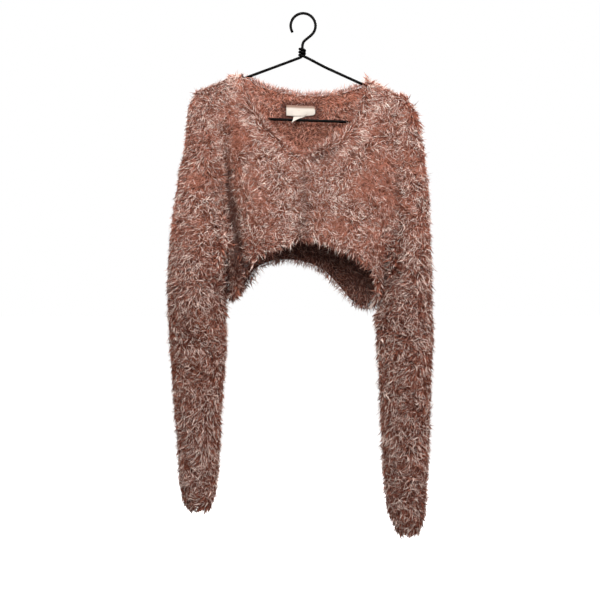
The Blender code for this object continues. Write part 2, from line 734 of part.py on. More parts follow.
def thin_sheet(front, thickness):
    """Points and faces of a sheet whose front is a grid facing -Y, thickened behind it."""
    rows, columns = front.shape[:2]
    back = front + np.array([0, thickness, 0])
    points = np.concatenate([front.reshape(-1, 3), back.reshape(-1, 3)])
    shift = rows * columns
    faces = []
    for row in range(rows - 1):
        for column in range(columns - 1):
            a = row * columns + column
            corners = [a, a + 1, a + columns + 1, a + columns]
            faces.append(corners)
            faces.append([corner + shift for corner in corners[::-1]])
    round_edge = list(range(columns))
    round_edge += [row * columns + columns - 1 for row in range(1, rows)]
    round_edge += [(rows - 1) * columns + column for column in range(columns - 2, -1, -1)]
    round_edge += [row * columns for row in range(rows - 2, 0, -1)]
    for start, end in zip(round_edge, round_edge[1:] + round_edge[:1]):
        faces.append([end, start, start + shift, end + shift])
    return points, faces


def inside_back(x, z):
    """Depth of the cloth's inner face behind the neck."""
    return half_depth(x, z) - WALL


def make_label(collection):
    across = np.linspace(-0.5, 0.5, LABEL_COLUMNS + 1) * LABEL_SIZE[0]
    down = np.linspace(0.5, -0.5, LABEL_ROWS + 1) * LABEL_SIZE[1]
    x, z = np.meshgrid(LABEL_CENTRE[0] + across, LABEL_CENTRE[1] + down)
    y = inside_back(x, z) - LABEL_THICKNESS - LABEL_LIFT
    points, faces = thin_sheet(np.stack([x, y, z], axis=-1), LABEL_THICKNESS)
    look = material("label_satin", SATIN_COLOUR, SATIN_ROUGHNESS)
    mesh_object("neck_label", points, faces, look, collection)


def make_tag(collection):
    """The folded tag hangs from under the label, over the hanger's bar and down in front of it."""
    middle, width, y, z = np.hsplit(in_metres(TAG_ROWS), 4)
    x = middle + width * np.linspace(-0.5, 0.5, TAG_COLUMNS + 1)
    front = np.stack(np.broadcast_arrays(x, y, z), axis=-1)
    points, faces = thin_sheet(front, TAG_THICKNESS)
    mesh_object("size_tag", points, faces, material("tag_satin", SATIN_COLOUR, SATIN_ROUGHNESS), collection)


def arc(centre, radius, start, end):
    steps = max(int(math.ceil(abs(end - start) / ARC_STEP)), 2)
    angles = np.linspace(start, end, steps + 1)
    return [(centre[0] + radius * math.cos(a), 0.0, centre[1] + radius * math.sin(a)) for a in angles]


def bend(corner, before, after, radius):
    """The round corner of a wire path, tangent to its two straights."""
    corner, before, after = (np.array(place, float) for place in (corner, before, after))
    arriving, leaving = unit(corner - before), unit(after - corner)
    turn = math.acos(np.clip(np.dot(arriving, leaving), -1, 1))
    side = 1 if arriving[0] * leaving[1] - arriving[1] * leaving[0] > 0 else -1
    start = corner - arriving * radius * math.tan(turn / 2)
    centre = start + side * radius * np.array([-arriving[1], arriving[0]])
    from_centre = start - centre
    first = math.atan2(from_centre[1], from_centre[0])
    return arc(centre, radius, first, first + side * turn)


def wire_path():
    """The hanger's wire in its own plane: hook, shaft, shoulder, bar, shoulder and wrapped end."""
    hook_centre = (0.0, -HOOK_RADIUS)
    hook = arc(hook_centre, HOOK_RADIUS + WIRE_RADIUS, HOOK_TIP_ANGLE, HOOK_FOOT_ANGLE)
    foot = np.array([hook[-1][0], hook[-1][2]])
    heading = np.array([math.sin(HOOK_FOOT_ANGLE), -math.cos(HOOK_FOOT_ANGLE)])
    shaft_top = foot - heading * foot[0] / heading[0]
    top = (0.0, -APEX_DROP)
    reach = BAR_DROP / math.tan(SHOULDER_SLOPE)
    end_radius = (reach - HALF_SPAN) / (1 / math.tan(SHOULDER_SLOPE / 2) - 1)
    right, left = (-reach, -APEX_DROP - BAR_DROP), (reach, -APEX_DROP - BAR_DROP)
    path = hook
    path += bend(shaft_top, foot, top, HOOK_BEND)
    path += bend(top, shaft_top, right, APEX_BEND)
    path += bend(right, top, left, end_radius)
    path += bend(left, right, top, end_radius)
    return path + wrapped_end()


def wrapped_end():
    """The second shoulder's last stretch, which passes in front of the shaft and winds up round it."""
    offset = 2 * WIRE_RADIUS + SEAM_GAP
    path = []
    for step in range(WRAP_LEAD_STEPS):
        share = step / WRAP_LEAD_STEPS
        x = WRAP_LEAD_IN * (1 - share)
        z = -APEX_DROP - math.tan(SHOULDER_SLOPE) * x + WRAP_LIFT * ease(share)
        path.append((x, -offset * ease(share), z))
    count = int(WRAP_TURNS * WRAP_STEPS_PER_TURN)
    for step in range(count + 1):
        turned = WRAP_TURNS * step / count
        angle = 2 * math.pi * turned
        rise = WRAP_LIFT + WRAP_PITCH * turned + WRAP_CLEARANCE * min(step / WRAP_CLEARANCE_STEPS, 1)
        path.append((-offset * math.sin(angle), -offset * math.cos(angle), rise - APEX_DROP))
    return path


def make_hanger(collection):
    curve = bpy.data.curves.new("hanger", "CURVE")
    curve.dimensions = "3D"
    curve.bevel_depth = WIRE_RADIUS
    curve.bevel_resolution = 2
    curve.use_fill_caps = True
    path = wire_path()
    spline = curve.splines.new("POLY")
    spline.points.add(len(path) - 1)
    for point, place in zip(spline.points, path):
        point.co = (*place, 1)
    spline.use_smooth = True
    curve.materials.append(material("black_lacquer", WIRE_COLOUR, WIRE_ROUGHNESS))
    hanger = bpy.data.objects.new("hanger", curve)
    hanger.rotation_euler.y = HANGER_TILT
    collection.objects.link(hanger)


def main():
    for old in list(bpy.data.objects):
        bpy.data.objects.remove(old, do_unlink=True)
    collection = bpy.data.collections.new("Cardigan on a hanger")
    bpy.context.scene.collection.children.link(collection)
    make_cloth(collection)
    make_label(collection)
    make_tag(collection)
    make_hanger(collection)


if __name__ == "__main__":
    main()
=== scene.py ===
"""Looks of a cropped cardigan in furry eyelash yarn, hanging on a plain black wire hanger.

The knit is a thin shell inside each piece's solid, and the yarn's lashes stand on it, out and in.
Metres, +Z up. The fronts face -Y, and the wearer's left is at +X.
"""

import json
import math
from collections import namedtuple

import bmesh
import bpy
import numpy as np
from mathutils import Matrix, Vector
from mathutils.bvhtree import BVHTree
from mathutils.kdtree import KDTree

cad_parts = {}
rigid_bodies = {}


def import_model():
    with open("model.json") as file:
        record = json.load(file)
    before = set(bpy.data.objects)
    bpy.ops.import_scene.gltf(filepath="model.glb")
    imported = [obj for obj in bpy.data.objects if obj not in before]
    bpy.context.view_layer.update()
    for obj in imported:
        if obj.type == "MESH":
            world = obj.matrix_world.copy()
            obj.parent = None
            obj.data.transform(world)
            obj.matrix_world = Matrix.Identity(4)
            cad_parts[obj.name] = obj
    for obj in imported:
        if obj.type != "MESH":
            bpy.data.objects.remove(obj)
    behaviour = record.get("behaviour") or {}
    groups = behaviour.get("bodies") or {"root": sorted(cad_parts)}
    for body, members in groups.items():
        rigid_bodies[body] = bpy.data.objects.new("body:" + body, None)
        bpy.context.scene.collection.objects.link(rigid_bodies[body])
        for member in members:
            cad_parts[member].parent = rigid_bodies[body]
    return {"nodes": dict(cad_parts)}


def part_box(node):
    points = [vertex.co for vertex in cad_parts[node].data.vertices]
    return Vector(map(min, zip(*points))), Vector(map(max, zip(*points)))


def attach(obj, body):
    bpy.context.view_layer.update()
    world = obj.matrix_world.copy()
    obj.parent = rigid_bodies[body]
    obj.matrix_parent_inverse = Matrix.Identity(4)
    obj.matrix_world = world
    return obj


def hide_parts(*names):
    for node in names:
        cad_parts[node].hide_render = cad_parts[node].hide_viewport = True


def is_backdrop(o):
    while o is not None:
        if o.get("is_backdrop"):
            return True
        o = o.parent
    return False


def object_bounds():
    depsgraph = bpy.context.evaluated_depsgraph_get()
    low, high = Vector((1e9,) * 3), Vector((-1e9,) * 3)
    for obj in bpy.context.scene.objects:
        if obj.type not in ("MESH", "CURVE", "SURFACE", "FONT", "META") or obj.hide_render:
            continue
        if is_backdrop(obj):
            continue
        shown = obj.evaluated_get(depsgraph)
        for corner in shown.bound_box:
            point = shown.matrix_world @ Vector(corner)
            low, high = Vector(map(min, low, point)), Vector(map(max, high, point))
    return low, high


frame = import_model()
cad_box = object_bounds()

bl_info = {
    "name": "Furry cropped cardigan",
    "version": (1, 0, 0),
    "blender": (4, 5, 0),
    "location": "3D View > Sidebar > Cardigan",
    "description": "Dresses a cropped eyelash yarn cardigan and the wire hanger that it hangs on",
    "category": "Mesh",
}

MM = 0.001
MERGE = 0.00001

# The wall of a solid: its pile outside, its knit, and its pile inside
WALL = 10.0 * MM
OUTER_PILE = 6.6 * MM
INNER_PILE = 1.6 * MM

# How a wall's two sides are told apart: a ray goes in from each face, OPPOSITE is the dot product
# of the normals of the face and of what it hits, and LEAST_STRIP is in square metres
RAY_START = 0.05 * MM
RAY_REACH = 1.6 * WALL
OPPOSITE = -0.8
NEARLY_OPPOSITE = -0.42
LEAST_STRIP = 0.0005
SMOOTH = math.radians(40)
FOLDED = math.radians(75)

# How far a quad may be from flat, in the cloth and in the wire, and from square
CLOTH_QUAD = math.radians(40)
WIRE_QUAD = math.radians(30)
QUAD_SHAPE = math.radians(60)

# Heights and half widths where the inside shows: through the neck, and up the hem and cuffs
NECK_SIGHT = -0.235
NECK_WIDE_SIGHT = 0.125
NECK_TOP = -0.115
NECK_TOP_SIGHT = 0.090
HEM_SIGHT = -0.325
CUFF_SIGHT = 0.045
CENTRE_FRONT_X = -0.002
BAR_HEIGHT = -0.170

# A lash of unit length: its middle's height and share of the bend, and each kind's bend and width
LASH_MIDDLE = 0.48
LASH_MIDDLE_BEND = 0.28
LASH_KINDS = ((0.30, 1.0), (0.55, 0.8), (0.70, 1.25), (0.45, 0.6))

# How strongly tufts and broad sweeps comb the lashes, and a sweep's size and a patch's fineness as
# shares of a tuft's
TUFT_PULL = 5.0
SWEEP_PULL = 4.0
SWEEP_SIZE = 3.2
PATCH_FINENESS = 0.5

# How lashes differ: their lean and length as shares, the exponent that makes long ones rare and
# what they have extra, and what each random draw adds to the seed
LEAN_RANGE = (0.5, 1.4)
LENGTH_RANGE = (0.62, 1.18)
RARENESS_OF_LONG = 9.0
EXTRA_OF_LONG = 0.45
DRAWS = {"stray": 11, "lean": 23, "length": 37, "long": 41, "kind": 53, "tone": 67}

# The lie of the lashes before tufts and scatter: how far they droop and spread sideways
BODY_DROOP = 0.45
SLEEVE_DROOP = 0.9
SLEEVE_SPREAD = 0.6
SLEEVE_STEP = 0.02
BAND_DROOP = 0.3
BAND_FRONT = -0.2
BAND_FRONT_DROOP = 1.0
BAND_SPREAD = 1.2
BAND_MIDDLE = 0.05

# Painted light from -1 for painted shade to 1 for painted highlight, the depths where it
# changes, and the warm painted bounce light inside
NECK_PAINTED_LIGHT = 0.55
BELOW_BAR_PAINTED_SHADE = -0.62
SHADE_ABOVE_BAR = 0.005
SHADE_BELOW_BAR = 0.02
CUFF_PAINTED_SHADE = -0.8
SLEEVE_PAINTED_SHADE = -0.24
SLEEVE_SHADE = (0.26, 0.44)
NECK_BOUNCE_LIGHT = 0.92
HEM_BOUNCE_LIGHT = 0.35

# The lashes' length, and how flat they lie, inside the cloth
INSIDE_REACH = 0.72
INSIDE_PRESS = 1.15
LEAST_REACH = 0.25

# Within RIM_REACH of a panel's edge the lashes turn out over it, less where it is sewn to a
# neighbour within SEAM_GAP, and change by these shares: outside they pale with a painted highlight,
# inside they get less painted shade and less warm painted bounce light. Light reaches inside as far
# as RIM_LIGHT.
RIM_REACH = 8.0 * MM
RIM_LIGHT = 34.0 * MM
RIM_PULL = 2.4
RIM_CALM = 0.5
RIM_UNSHADED = 0.7
RIM_HIGHLIGHT = 0.3
RIM_LESS_BOUNCE = 0.5
RIM_THICKER = 0.8
RIM_SHORTER = 0.1
RIM_FLATTER = 0.4
SEAM_GAP = 2.5 * MM
SEAM_PULL = 0.5
HEM_TRIM = 0.06
HEM_FRINGE = 0.30
HEM_THINNER = 0.9
LINE_THICKER = 0.7

# How the lashes keep off the label: how far away, how strongly and how much shorter, and the
# margins of the bare patch under it
LABEL_CLEAR = 16.0 * MM
LABEL_PUSH = 4.0
LABEL_SHORTER = 0.55
LABEL_MARGIN = 0.001
LABEL_MARGIN_BELOW = 0.002

# The label's edges, corners, sag, fold, belly and hem
LABEL_EDGE = 0.3 * MM
LABEL_SMALL_CORNER = 0.8 * MM
LABEL_LARGE_CORNER = 4.2 * MM
LABEL_SAG = 1.1 * MM
LABEL_RISE = 0.8 * MM
LABEL_SLOPE = 1.8 * MM
LABEL_FOLD = 0.5 * MM
LABEL_FOLD_FORWARD = 0.4
LABEL_BELLY = 0.9 * MM
LABEL_WAVE = 0.4
LABEL_WAVES = 3
# LABEL_HEM and LABEL_SEWN set the band of painted shade along the sewn top hem's fold
LABEL_HEM = 3.0 * MM
LABEL_SEWN = 1.9
LABEL_COLUMNS = 33
LABEL_ROWS = 13

# The stitches: how far from the label's edges, in how many steps, and each one's width and pitch
LABEL_SEAM = 2.2 * MM
SEAM_STEPS = 24
STITCH_WIDTH = 0.45 * MM
STITCH_PITCH = 1.3

# The tag's edges, point, hollow and bulge
TAG_EDGE = 0.3 * MM
TAG_POINT = 2.0 * MM
TAG_HOLLOW = 0.8 * MM
TAG_INSET = 0.7 * MM
TAG_BULGE = 0.3 * MM
TAG_RAY_SHIFT = 3 * MM
TAG_COLUMNS = 9
TAG_ROWS = 15

# How far in front of the label and the tag their rays start
LABEL_RAY = 0.02
TAG_RAY = 0.03

# What the wire's facets lose when they are rounded
WIRE_SWELL = 0.42 * MM

# Each piece's flat width and length, the share of that rectangle that its cut covers, the lashes
# for each square metre outside and inside, and their length outside as a share of the usual one
Piece = namedtuple("Piece", "node width length share density inside_density reach")
PIECES = [
    Piece("back", 0.345, 0.375, 0.66, 3.4e5, 2.6e5, 1.0),
    Piece("left_front", 0.172, 0.340, 0.60, 6.4e5, 1.2e5, 0.82),
    Piece("right_front", 0.172, 0.340, 0.60, 6.4e5, 1.2e5, 0.82),
    Piece("neckband", 0.028, 0.620, 0.90, 6.4e5, 4.5e5, 0.85),
    Piece("left_sleeve", 0.235, 0.700, 0.70, 4.7e5, 1.2e5, 1.0),
    Piece("right_sleeve", 0.245, 0.680, 0.72, 4.7e5, 1.2e5, 0.95),
]
SLEEVE_PARTS = ("upper", "lower")
SLEEVE_SPLIT = -0.46

# Lines where the outside's lashes part, stand up, darken with painted shade or pale with painted
# highlight. A line is for the pieces whose names end in its kind, and an empty kind is for every
# piece. Its points are (x, z), push parts the lashes, painted light below 0 is painted shade and
# above 0 painted highlight, and grow is extra length.
Line = namedtuple("Line", "kind points reach push tint grow")
LINES = [
    # the fronts' meeting edges, darkened with painted shade
    Line("front", [(0.000, -0.245), (0.002, -0.375)], 0.010, 1.4, -0.95, -0.15),
    # the fold beside the wearer's right arm, faint at first, then deep, darkened with painted
    # shade, and the pale fur along it, a painted highlight
    Line("front", [(-0.124, -0.180), (-0.124, -0.250)], 0.012, 0.5, -0.40, 0.0),
    Line("front", [(-0.124, -0.255), (-0.113, -0.324), (-0.102, -0.378), (-0.094, -0.401),
                   (-0.087, -0.424)], 0.020, 1.0, -1.00, -0.22),
    Line("sleeve", [(-0.126, -0.250), (-0.121, -0.324), (-0.120, -0.350)],
         0.013, 0.0, -0.70, -0.25),
    Line("sleeve", [(-0.122, -0.365), (-0.124, -0.420)], 0.020, 0.0, -0.30, 0.30),
    Line("back", [(-0.120, -0.350), (-0.120, -0.420)], 0.030, 0.0, -0.40, 0.40),
    Line("front", [(-0.095, -0.235), (-0.086, -0.314), (-0.076, -0.372)], 0.014, 0.0, 0.40, 0.15),
    # the seam of the wearer's left arm, darkened with painted shade
    Line("sleeve", [(0.152, -0.190), (0.155, -0.314), (0.150, -0.420)], 0.012, 1.2, -0.45, 0.0),
    # painted shadow under the neckband's end that lies over the other, and the pale ridges along
    # its outer edge, painted highlights
    Line("", [(0.012, -0.231), (0.050, -0.220)], 0.007, 0.6, -1.00, 0.0),
    Line("", [(0.125, -0.140), (0.102, -0.182), (0.082, -0.208), (0.050, -0.232)],
         0.009, 0.0, 1.00, 0.15),
    Line("", [(-0.119, -0.120), (-0.093, -0.170), (-0.057, -0.214), (-0.020, -0.242)],
         0.009, 0.0, 0.40, 0.1),
    # the hem's two lobes, and the fur of the arms beside them, darkened with painted shade
    Line("front", [(-0.108, -0.410), (-0.102, -0.448)], 0.034, 0.0, -0.70, -0.15),
    Line("back", [(-0.108, -0.410), (-0.102, -0.448)], 0.030, 0.0, -0.60, -0.15),
    Line("back", [(-0.116, -0.425), (-0.119, -0.446)], 0.013, 2.0, -0.3, 0.7),
    Line("back", [(-0.094, -0.420), (-0.084, -0.398)], 0.020, 0.0, -0.3, 0.50),
    Line("front", [(0.112, -0.395), (0.118, -0.455)], 0.030, 1.2, -0.40, 0.10),
    Line("back", [(0.108, -0.425), (0.114, -0.462)], 0.022, 1.4, -0.5, 0.70),
    Line("sleeve", [(-0.135, -0.430), (-0.135, -0.460)], 0.030, 0.0, -0.2, 0.35),
    Line("sleeve", [(0.138, -0.400), (0.135, -0.475)], 0.030, 0.0, -0.25, 0.30),
    Line("sleeve", [(0.118, -0.425), (0.118, -0.470)], 0.016, 0.0, -0.3, 0.60),
    # the outer edge of the wearer's right arm, with a faint painted highlight
    Line("sleeve", [(-0.195, -0.220), (-0.212, -0.320), (-0.222, -0.460), (-0.215, -0.600),
                    (-0.197, -0.790)], 0.030, 0.0, 0.1, -0.20),
    # the tops of the shoulders, where the fur lies flat, and the tufts that the wire raises, paler
    # with painted highlight
    Line("", [(-0.160, -0.118), (-0.124, -0.102)], 0.020, 0.0, 0.2, -0.42),
    Line("", [(0.124, -0.116), (0.150, -0.126)], 0.020, 0.0, 0.2, -0.25),
    Line("", [(-0.172, -0.150), (-0.182, -0.215)], 0.030, 0.0, 0.2, -0.35),
    Line("", [(-0.112, -0.110), (-0.098, -0.100)], 0.020, 0.4, 0.9, 0.10),
    Line("", [(0.100, -0.116), (0.114, -0.120)], 0.020, 0.4, 0.9, 0.10),
    # the neck's edges beside the ends of the bar, paler with painted highlight
    Line("", [(-0.066, -0.150), (-0.054, -0.172)], 0.018, 0.0, 0.4, -0.45),
    Line("", [(0.080, -0.150), (0.070, -0.176)], 0.018, 0.0, 0.4, -0.50),
]

# The stage: the middle of the view, the floor's half width, and the lights, each aimed at the
# middle or as far above it as raised says
VIEW_MIDDLE = Vector((-0.0056, 0.0, -0.4568))
FLOOR_REACH = 40.0
Light = namedtuple("Light", "name place raised size colour")
LIGHTS = [
    Light("key", (0.0, -1.15, 0.46), 0.22, (1.2, 0.8), (1.0, 0.975, 0.95)),
    Light("fill", (1.5, -1.2, 0.1), 0.0, (1.0, 1.4), (0.97, 0.98, 1.0)),
    Light("back", (0.2, 1.6, 0.6), 0.0, (1.6, 1.0), (1.0, 1.0, 1.0)),
]
FRAME_WIDTH = 36.0
VIEW_END = 100.0

# The room's even light: its strength from below, the heights between which it grows, its colour
GROUND_LIGHT = 0.15
ROOM_LOW = -0.6
ROOM_HIGH = 0.5
ROOM_COLOUR = (1.0, 0.985, 0.97, 1)


# Settings that a user would change

def colour_setting(name, default, description):
    return bpy.props.FloatVectorProperty(
        name=name, description=description, default=default, min=0, max=1, subtype="COLOR")


def power_setting(name, default, description):
    return bpy.props.FloatProperty(
        name=name, description=description, default=default, min=0, unit="POWER")


class YarnSettings(bpy.types.PropertyGroup):
    """The eyelash yarn: its lashes and its colours"""

    lash_length: bpy.props.FloatProperty(
        name="Lash length", description="Length of a usual lash", default=0.0150, min=0.002,
        unit="LENGTH")
    lash_width: bpy.props.FloatProperty(
        name="Lash width", description="Width of a lash at its middle, as a share of its length",
        default=0.050, min=0.01, max=0.2, subtype="FACTOR")
    lean: bpy.props.FloatProperty(
        name="Lean", description="How far a lash leans over from upright", default=math.radians(44),
        min=0, max=math.radians(85), subtype="ANGLE")
    scatter: bpy.props.FloatProperty(
        name="Scatter", description="How much each lash strays from the lie of its tuft",
        default=1.5, min=0, subtype="FACTOR")
    tuft: bpy.props.FloatProperty(
        name="Tuft size", description="Distance over which lashes lie alike", default=0.022,
        min=0.002, unit="LENGTH")
    thickness: bpy.props.FloatProperty(
        name="Knit thickness", description="Thickness of the knit under the lashes", default=0.0017,
        min=0.0005, unit="LENGTH")
    # The root colour is dark partly as painted shade deep in the pile, the tip and bright colours
    # are pale partly as painted glints, and the warm colour also paints bounce light inside.
    root: colour_setting(
        "Root", (0.075, 0.018, 0.010), "Colour of the yarn at the roots of its lashes")
    middle: colour_setting("Middle", (0.44, 0.140, 0.086), "Colour of the lashes halfway up")
    tip: colour_setting("Tip", (0.70, 0.350, 0.255), "Colour of the lashes at their tips")
    bright: colour_setting(
        "Bright lashes", (1.0, 0.85, 0.77), "Colour of the few palest, glossiest lashes")
    warm: colour_setting(
        "Warm lashes", (0.88, 0.345, 0.222),
        "Colour that the lashes turn to where they lie smooth, and inside")
    seed: bpy.props.IntProperty(name="Seed", description="Places the lashes", default=7, min=0)


class TrimSettings(bpy.types.PropertyGroup):
    """The satin label and tag, and the hanger's lacquer"""

    satin: colour_setting("Satin", (0.80, 0.73, 0.65), "Colour of the label and tag")
    label_thickness: bpy.props.FloatProperty(
        name="Label thickness", description="Thickness of one layer of the satin", default=0.00035,
        min=0.0001, unit="LENGTH")
    stitch_length: bpy.props.FloatProperty(
        name="Stitch length", description="Length of one stitch along the label's top",
        default=0.0024, min=0.0005, unit="LENGTH")
    lacquer: colour_setting("Lacquer", (0.0012, 0.0008, 0.0008), "Colour of the hanger's wire")


class StageSettings(bpy.types.PropertyGroup):
    """The pale floor, the soft studio light and the camera"""

    camera_distance: bpy.props.FloatProperty(
        name="Camera distance", description="From the camera to the cardigan's middle plane",
        default=2.0, min=0.5, unit="LENGTH")
    view_width: bpy.props.FloatProperty(
        name="View width", description="Width of what the camera sees at the cardigan",
        default=0.960, min=0.1, unit="LENGTH")
    floor_height: bpy.props.FloatProperty(
        name="Floor height", description="Height of the floor below the hook", default=-1.02,
        unit="LENGTH")
    key_power: power_setting("Key light", 22, "Power of the large light in front")
    fill_power: power_setting("Fill light", 10, "Power of the light at the side")
    back_power: power_setting("Back light", 55, "Power of the light behind")
    floor_glow: bpy.props.FloatProperty(
        name="Floor glow", description="How far the paper on the floor is burnt out to white",
        default=0.60, min=0)
    sky: bpy.props.FloatProperty(
        name="Room light", description="Strength of the even light from above", default=0.50, min=0)


# Node trees

def add_node(tree, kind, inputs=None, **settings):
    """A new node with its settings. An input given as a socket is linked, and any other is set."""
    node = tree.nodes.new(kind)
    node.location = (200 * len(tree.nodes), 0)
    for name, value in settings.items():
        setattr(node, name, value)
    for name, value in (inputs or {}).items():
        fill(tree, node.inputs[name], value)
    return node


def fill(tree, socket, value):
    if isinstance(value, bpy.types.NodeSocket):
        tree.links.new(value, socket)
    else:
        socket.default_value = value


def maths(tree, operation, first, second=0.0):
    return add_node(tree, "ShaderNodeMath", {0: first, 1: second}, operation=operation).outputs[0]


def times(tree, first, second):
    return maths(tree, "MULTIPLY", first, second)


def plus(tree, first, second):
    return maths(tree, "ADD", first, second)


def vectors(tree, operation, first, second=(0.0, 0.0, 0.0)):
    node = add_node(tree, "ShaderNodeVectorMath", {0: first, 1: second}, operation=operation)
    return node.outputs["Value" if operation == "DOT_PRODUCT" else "Vector"]


def scaled(tree, vector, factor):
    node = add_node(tree, "ShaderNodeVectorMath", {0: vector, "Scale": factor}, operation="SCALE")
    return node.outputs["Vector"]


def ramp(tree, factor, stops):
    """A colour ramp of (position, colour) stops."""
    node = add_node(tree, "ShaderNodeValToRGB", {"Fac": factor})
    elements = node.color_ramp.elements
    while len(elements) < len(stops):
        elements.new(0.5)
    for element, (position, colour) in zip(elements, stops):
        element.position = position
        element.color = (*colour, 1.0)
    return node.outputs["Color"]


def share_ramp(tree, factor, start, end):
    """A ramp between two (position, grey) stops."""
    return ramp(tree, factor, [(position, (grey,) * 3) for position, grey in (start, end)])


def mixed(tree, factor, first, second):
    """A mix of two colours, each a socket or three numbers."""
    node = add_node(tree, "ShaderNodeMix", {"Factor": factor}, data_type="RGBA")
    for name, value in (("A_Color", first), ("B_Color", second)):
        socket = next(s for s in node.inputs if s.identifier == name)
        fill(tree, socket, value if isinstance(value, bpy.types.NodeSocket) else (*value, 1.0))
    return next(s for s in node.outputs if s.identifier == "Result_Color")


def noise(tree, place, scale, detail=2.0, roughness=0.5):
    return add_node(
        tree, "ShaderNodeTexNoise",
        {"Vector": place, "Scale": scale, "Detail": detail, "Roughness": roughness})


def bands(tree, place, direction, **inputs):
    """Waves in rows along one direction, with the texture's own inputs."""
    inputs = {name.replace("_", " "): value for name, value in inputs.items()}
    inputs["Vector"] = place
    node = add_node(tree, "ShaderNodeTexWave", inputs, bands_direction=direction)
    return node.outputs["Fac"]


def new_material(name, **sockets):
    """A material whose Principled shader has these values on its own sockets."""
    made = bpy.data.materials.new(name)
    made.use_nodes = True
    tree = made.node_tree
    shader = tree.nodes["Principled BSDF"]
    for socket, value in sockets.items():
        shader.inputs[socket.replace("_", " ")].default_value = value
    return made, tree, shader


def stored(tree, name):
    """A value that the mesh stores under this name."""
    return add_node(tree, "ShaderNodeAttribute", attribute_name=name).outputs["Fac"]


def object_place(tree):
    return add_node(tree, "ShaderNodeTexCoord").outputs["Object"]


def darker(colour, share):
    return tuple(channel * share for channel in colour)


def bump(tree, shader, height, distance):
    node = add_node(tree, "ShaderNodeBump", {"Height": height, "Distance": distance})
    tree.links.new(node.outputs["Normal"], shader.inputs["Normal"])


# Materials

# A lash's paleness is USUAL_PALENESS, plus its own tone times a contrast that its patch sets and
# painted shade raises, plus the lift of its painted highlight. The stops turn it into shares of
# the pale and deep colours.
PATCH_REST = 0.02
PATCH_CONTRAST = 2.9
SHADE_CONTRAST = 2.4
USUAL_PALENESS = 0.50
HIGHLIGHT_LIFT = 0.35
BRIGHT_STOPS = ((0.84, 0.0), (0.94, 1.0))
DEEP_STOPS = ((0.26, 1.0), (0.48, 0.0))

# Where a patch is smooth its lashes turn warm, less so in painted shade, and painted shade itself
# turns them dark
SMOOTH_STOPS = ((0.36, 0.28), (0.50, 0.0))
SHADE_FADES = 3.0
SHADE_SHARE = -0.85


def lash_material(yarn):
    """Glossy lashes: dark at the root, dusty pink, paler at the tip, and a few nearly white, partly
    painted shade and painted glints.
    """
    made, tree, shader = new_material("eyelash_yarn", Roughness=0.36, Specular_IOR_Level=0.32)
    along, tone, patch, tint, warm = (
        stored(tree, name) for name in ("along", "tone", "patch", "tint", "warm"))
    # dark roots are partly painted shade deep in the pile; pale tips and the nearly white lashes
    # are partly painted glints
    plain = ramp(tree, along, [(0.0, yarn.root), (0.45, yarn.middle), (1.0, yarn.tip)])
    pale = ramp(tree, along, [(0.0, yarn.middle), (0.25, yarn.tip), (0.55, yarn.bright)])
    deep = ramp(tree, along, [(0.0, yarn.root), (1.0, darker(yarn.middle, 0.75))])
    warmest = tuple(yarn.warm)

    # above 0 the stored painted light lifts the paleness as a painted highlight; below 0 it is
    # painted shade
    lift = times(tree, maths(tree, "MAXIMUM", tint, 0.0), HIGHLIGHT_LIFT)
    shade = maths(tree, "MINIMUM", tint, 0.0)
    contrast = times(tree, maths(tree, "SUBTRACT", patch, PATCH_REST), PATCH_CONTRAST)
    raised = maths(tree, "SUBTRACT", 1.0, times(tree, shade, SHADE_CONTRAST))
    swing = times(tree, maths(tree, "SUBTRACT", tone, 0.5), times(tree, contrast, raised))
    paleness = plus(tree, plus(tree, swing, USUAL_PALENESS), lift)
    bright_share = share_ramp(tree, paleness, *BRIGHT_STOPS)
    bright_share = times(tree, bright_share, plus(tree, shade, 1.0))
    deep_share = share_ramp(tree, paleness, *DEEP_STOPS)
    fading = maths(tree, "MAXIMUM", plus(tree, 1.0, times(tree, shade, SHADE_FADES)), 0.0)
    smooth = share_ramp(tree, patch, *SMOOTH_STOPS)

    colour = mixed(tree, deep_share, plain, deep)
    colour = mixed(tree, times(tree, times(tree, smooth, along), fading), colour, warmest)
    # painted shade darkens the lashes towards a dark root colour
    colour = mixed(tree, times(tree, shade, SHADE_SHARE), colour, darker(yarn.root, 0.3))
    colour = mixed(tree, bright_share, colour, pale)
    # warm painted bounce light inside, strongest towards the tips
    colour = mixed(tree, times(tree, warm, along), colour, warmest)
    tree.links.new(colour, shader.inputs["Base Color"])
    return made


def knit_material(yarn):
    """The knit under the lashes: dark, partly as painted shade in the gaps between the lashes, with
    the columns of its stitches.
    """
    made, tree, shader = new_material(
        "knit_ground", Roughness=0.85, Sheen_Weight=0.3, Sheen_Roughness=0.5)
    place = object_place(tree)
    stitch = bands(tree, place, "X", Scale=55.0, Distortion=3.0, Detail=2.0, Detail_Scale=2.0)
    fuzz = noise(tree, place, 900.0, 4.0, 0.6).outputs["Fac"]
    blotch = noise(tree, place, 26.0, 3.0).outputs["Fac"]
    dark = darker(yarn.root, 0.8)
    light = darker(yarn.middle, 0.42)
    colour = mixed(tree, times(tree, stitch, blotch), dark, light)
    colour = mixed(tree, 0.35, colour, ramp(tree, fuzz, [(0.35, dark), (0.7, light)]))
    tree.links.new(colour, shader.inputs["Base Color"])
    bump(tree, shader, plus(tree, stitch, fuzz), 0.8 * MM)
    return made


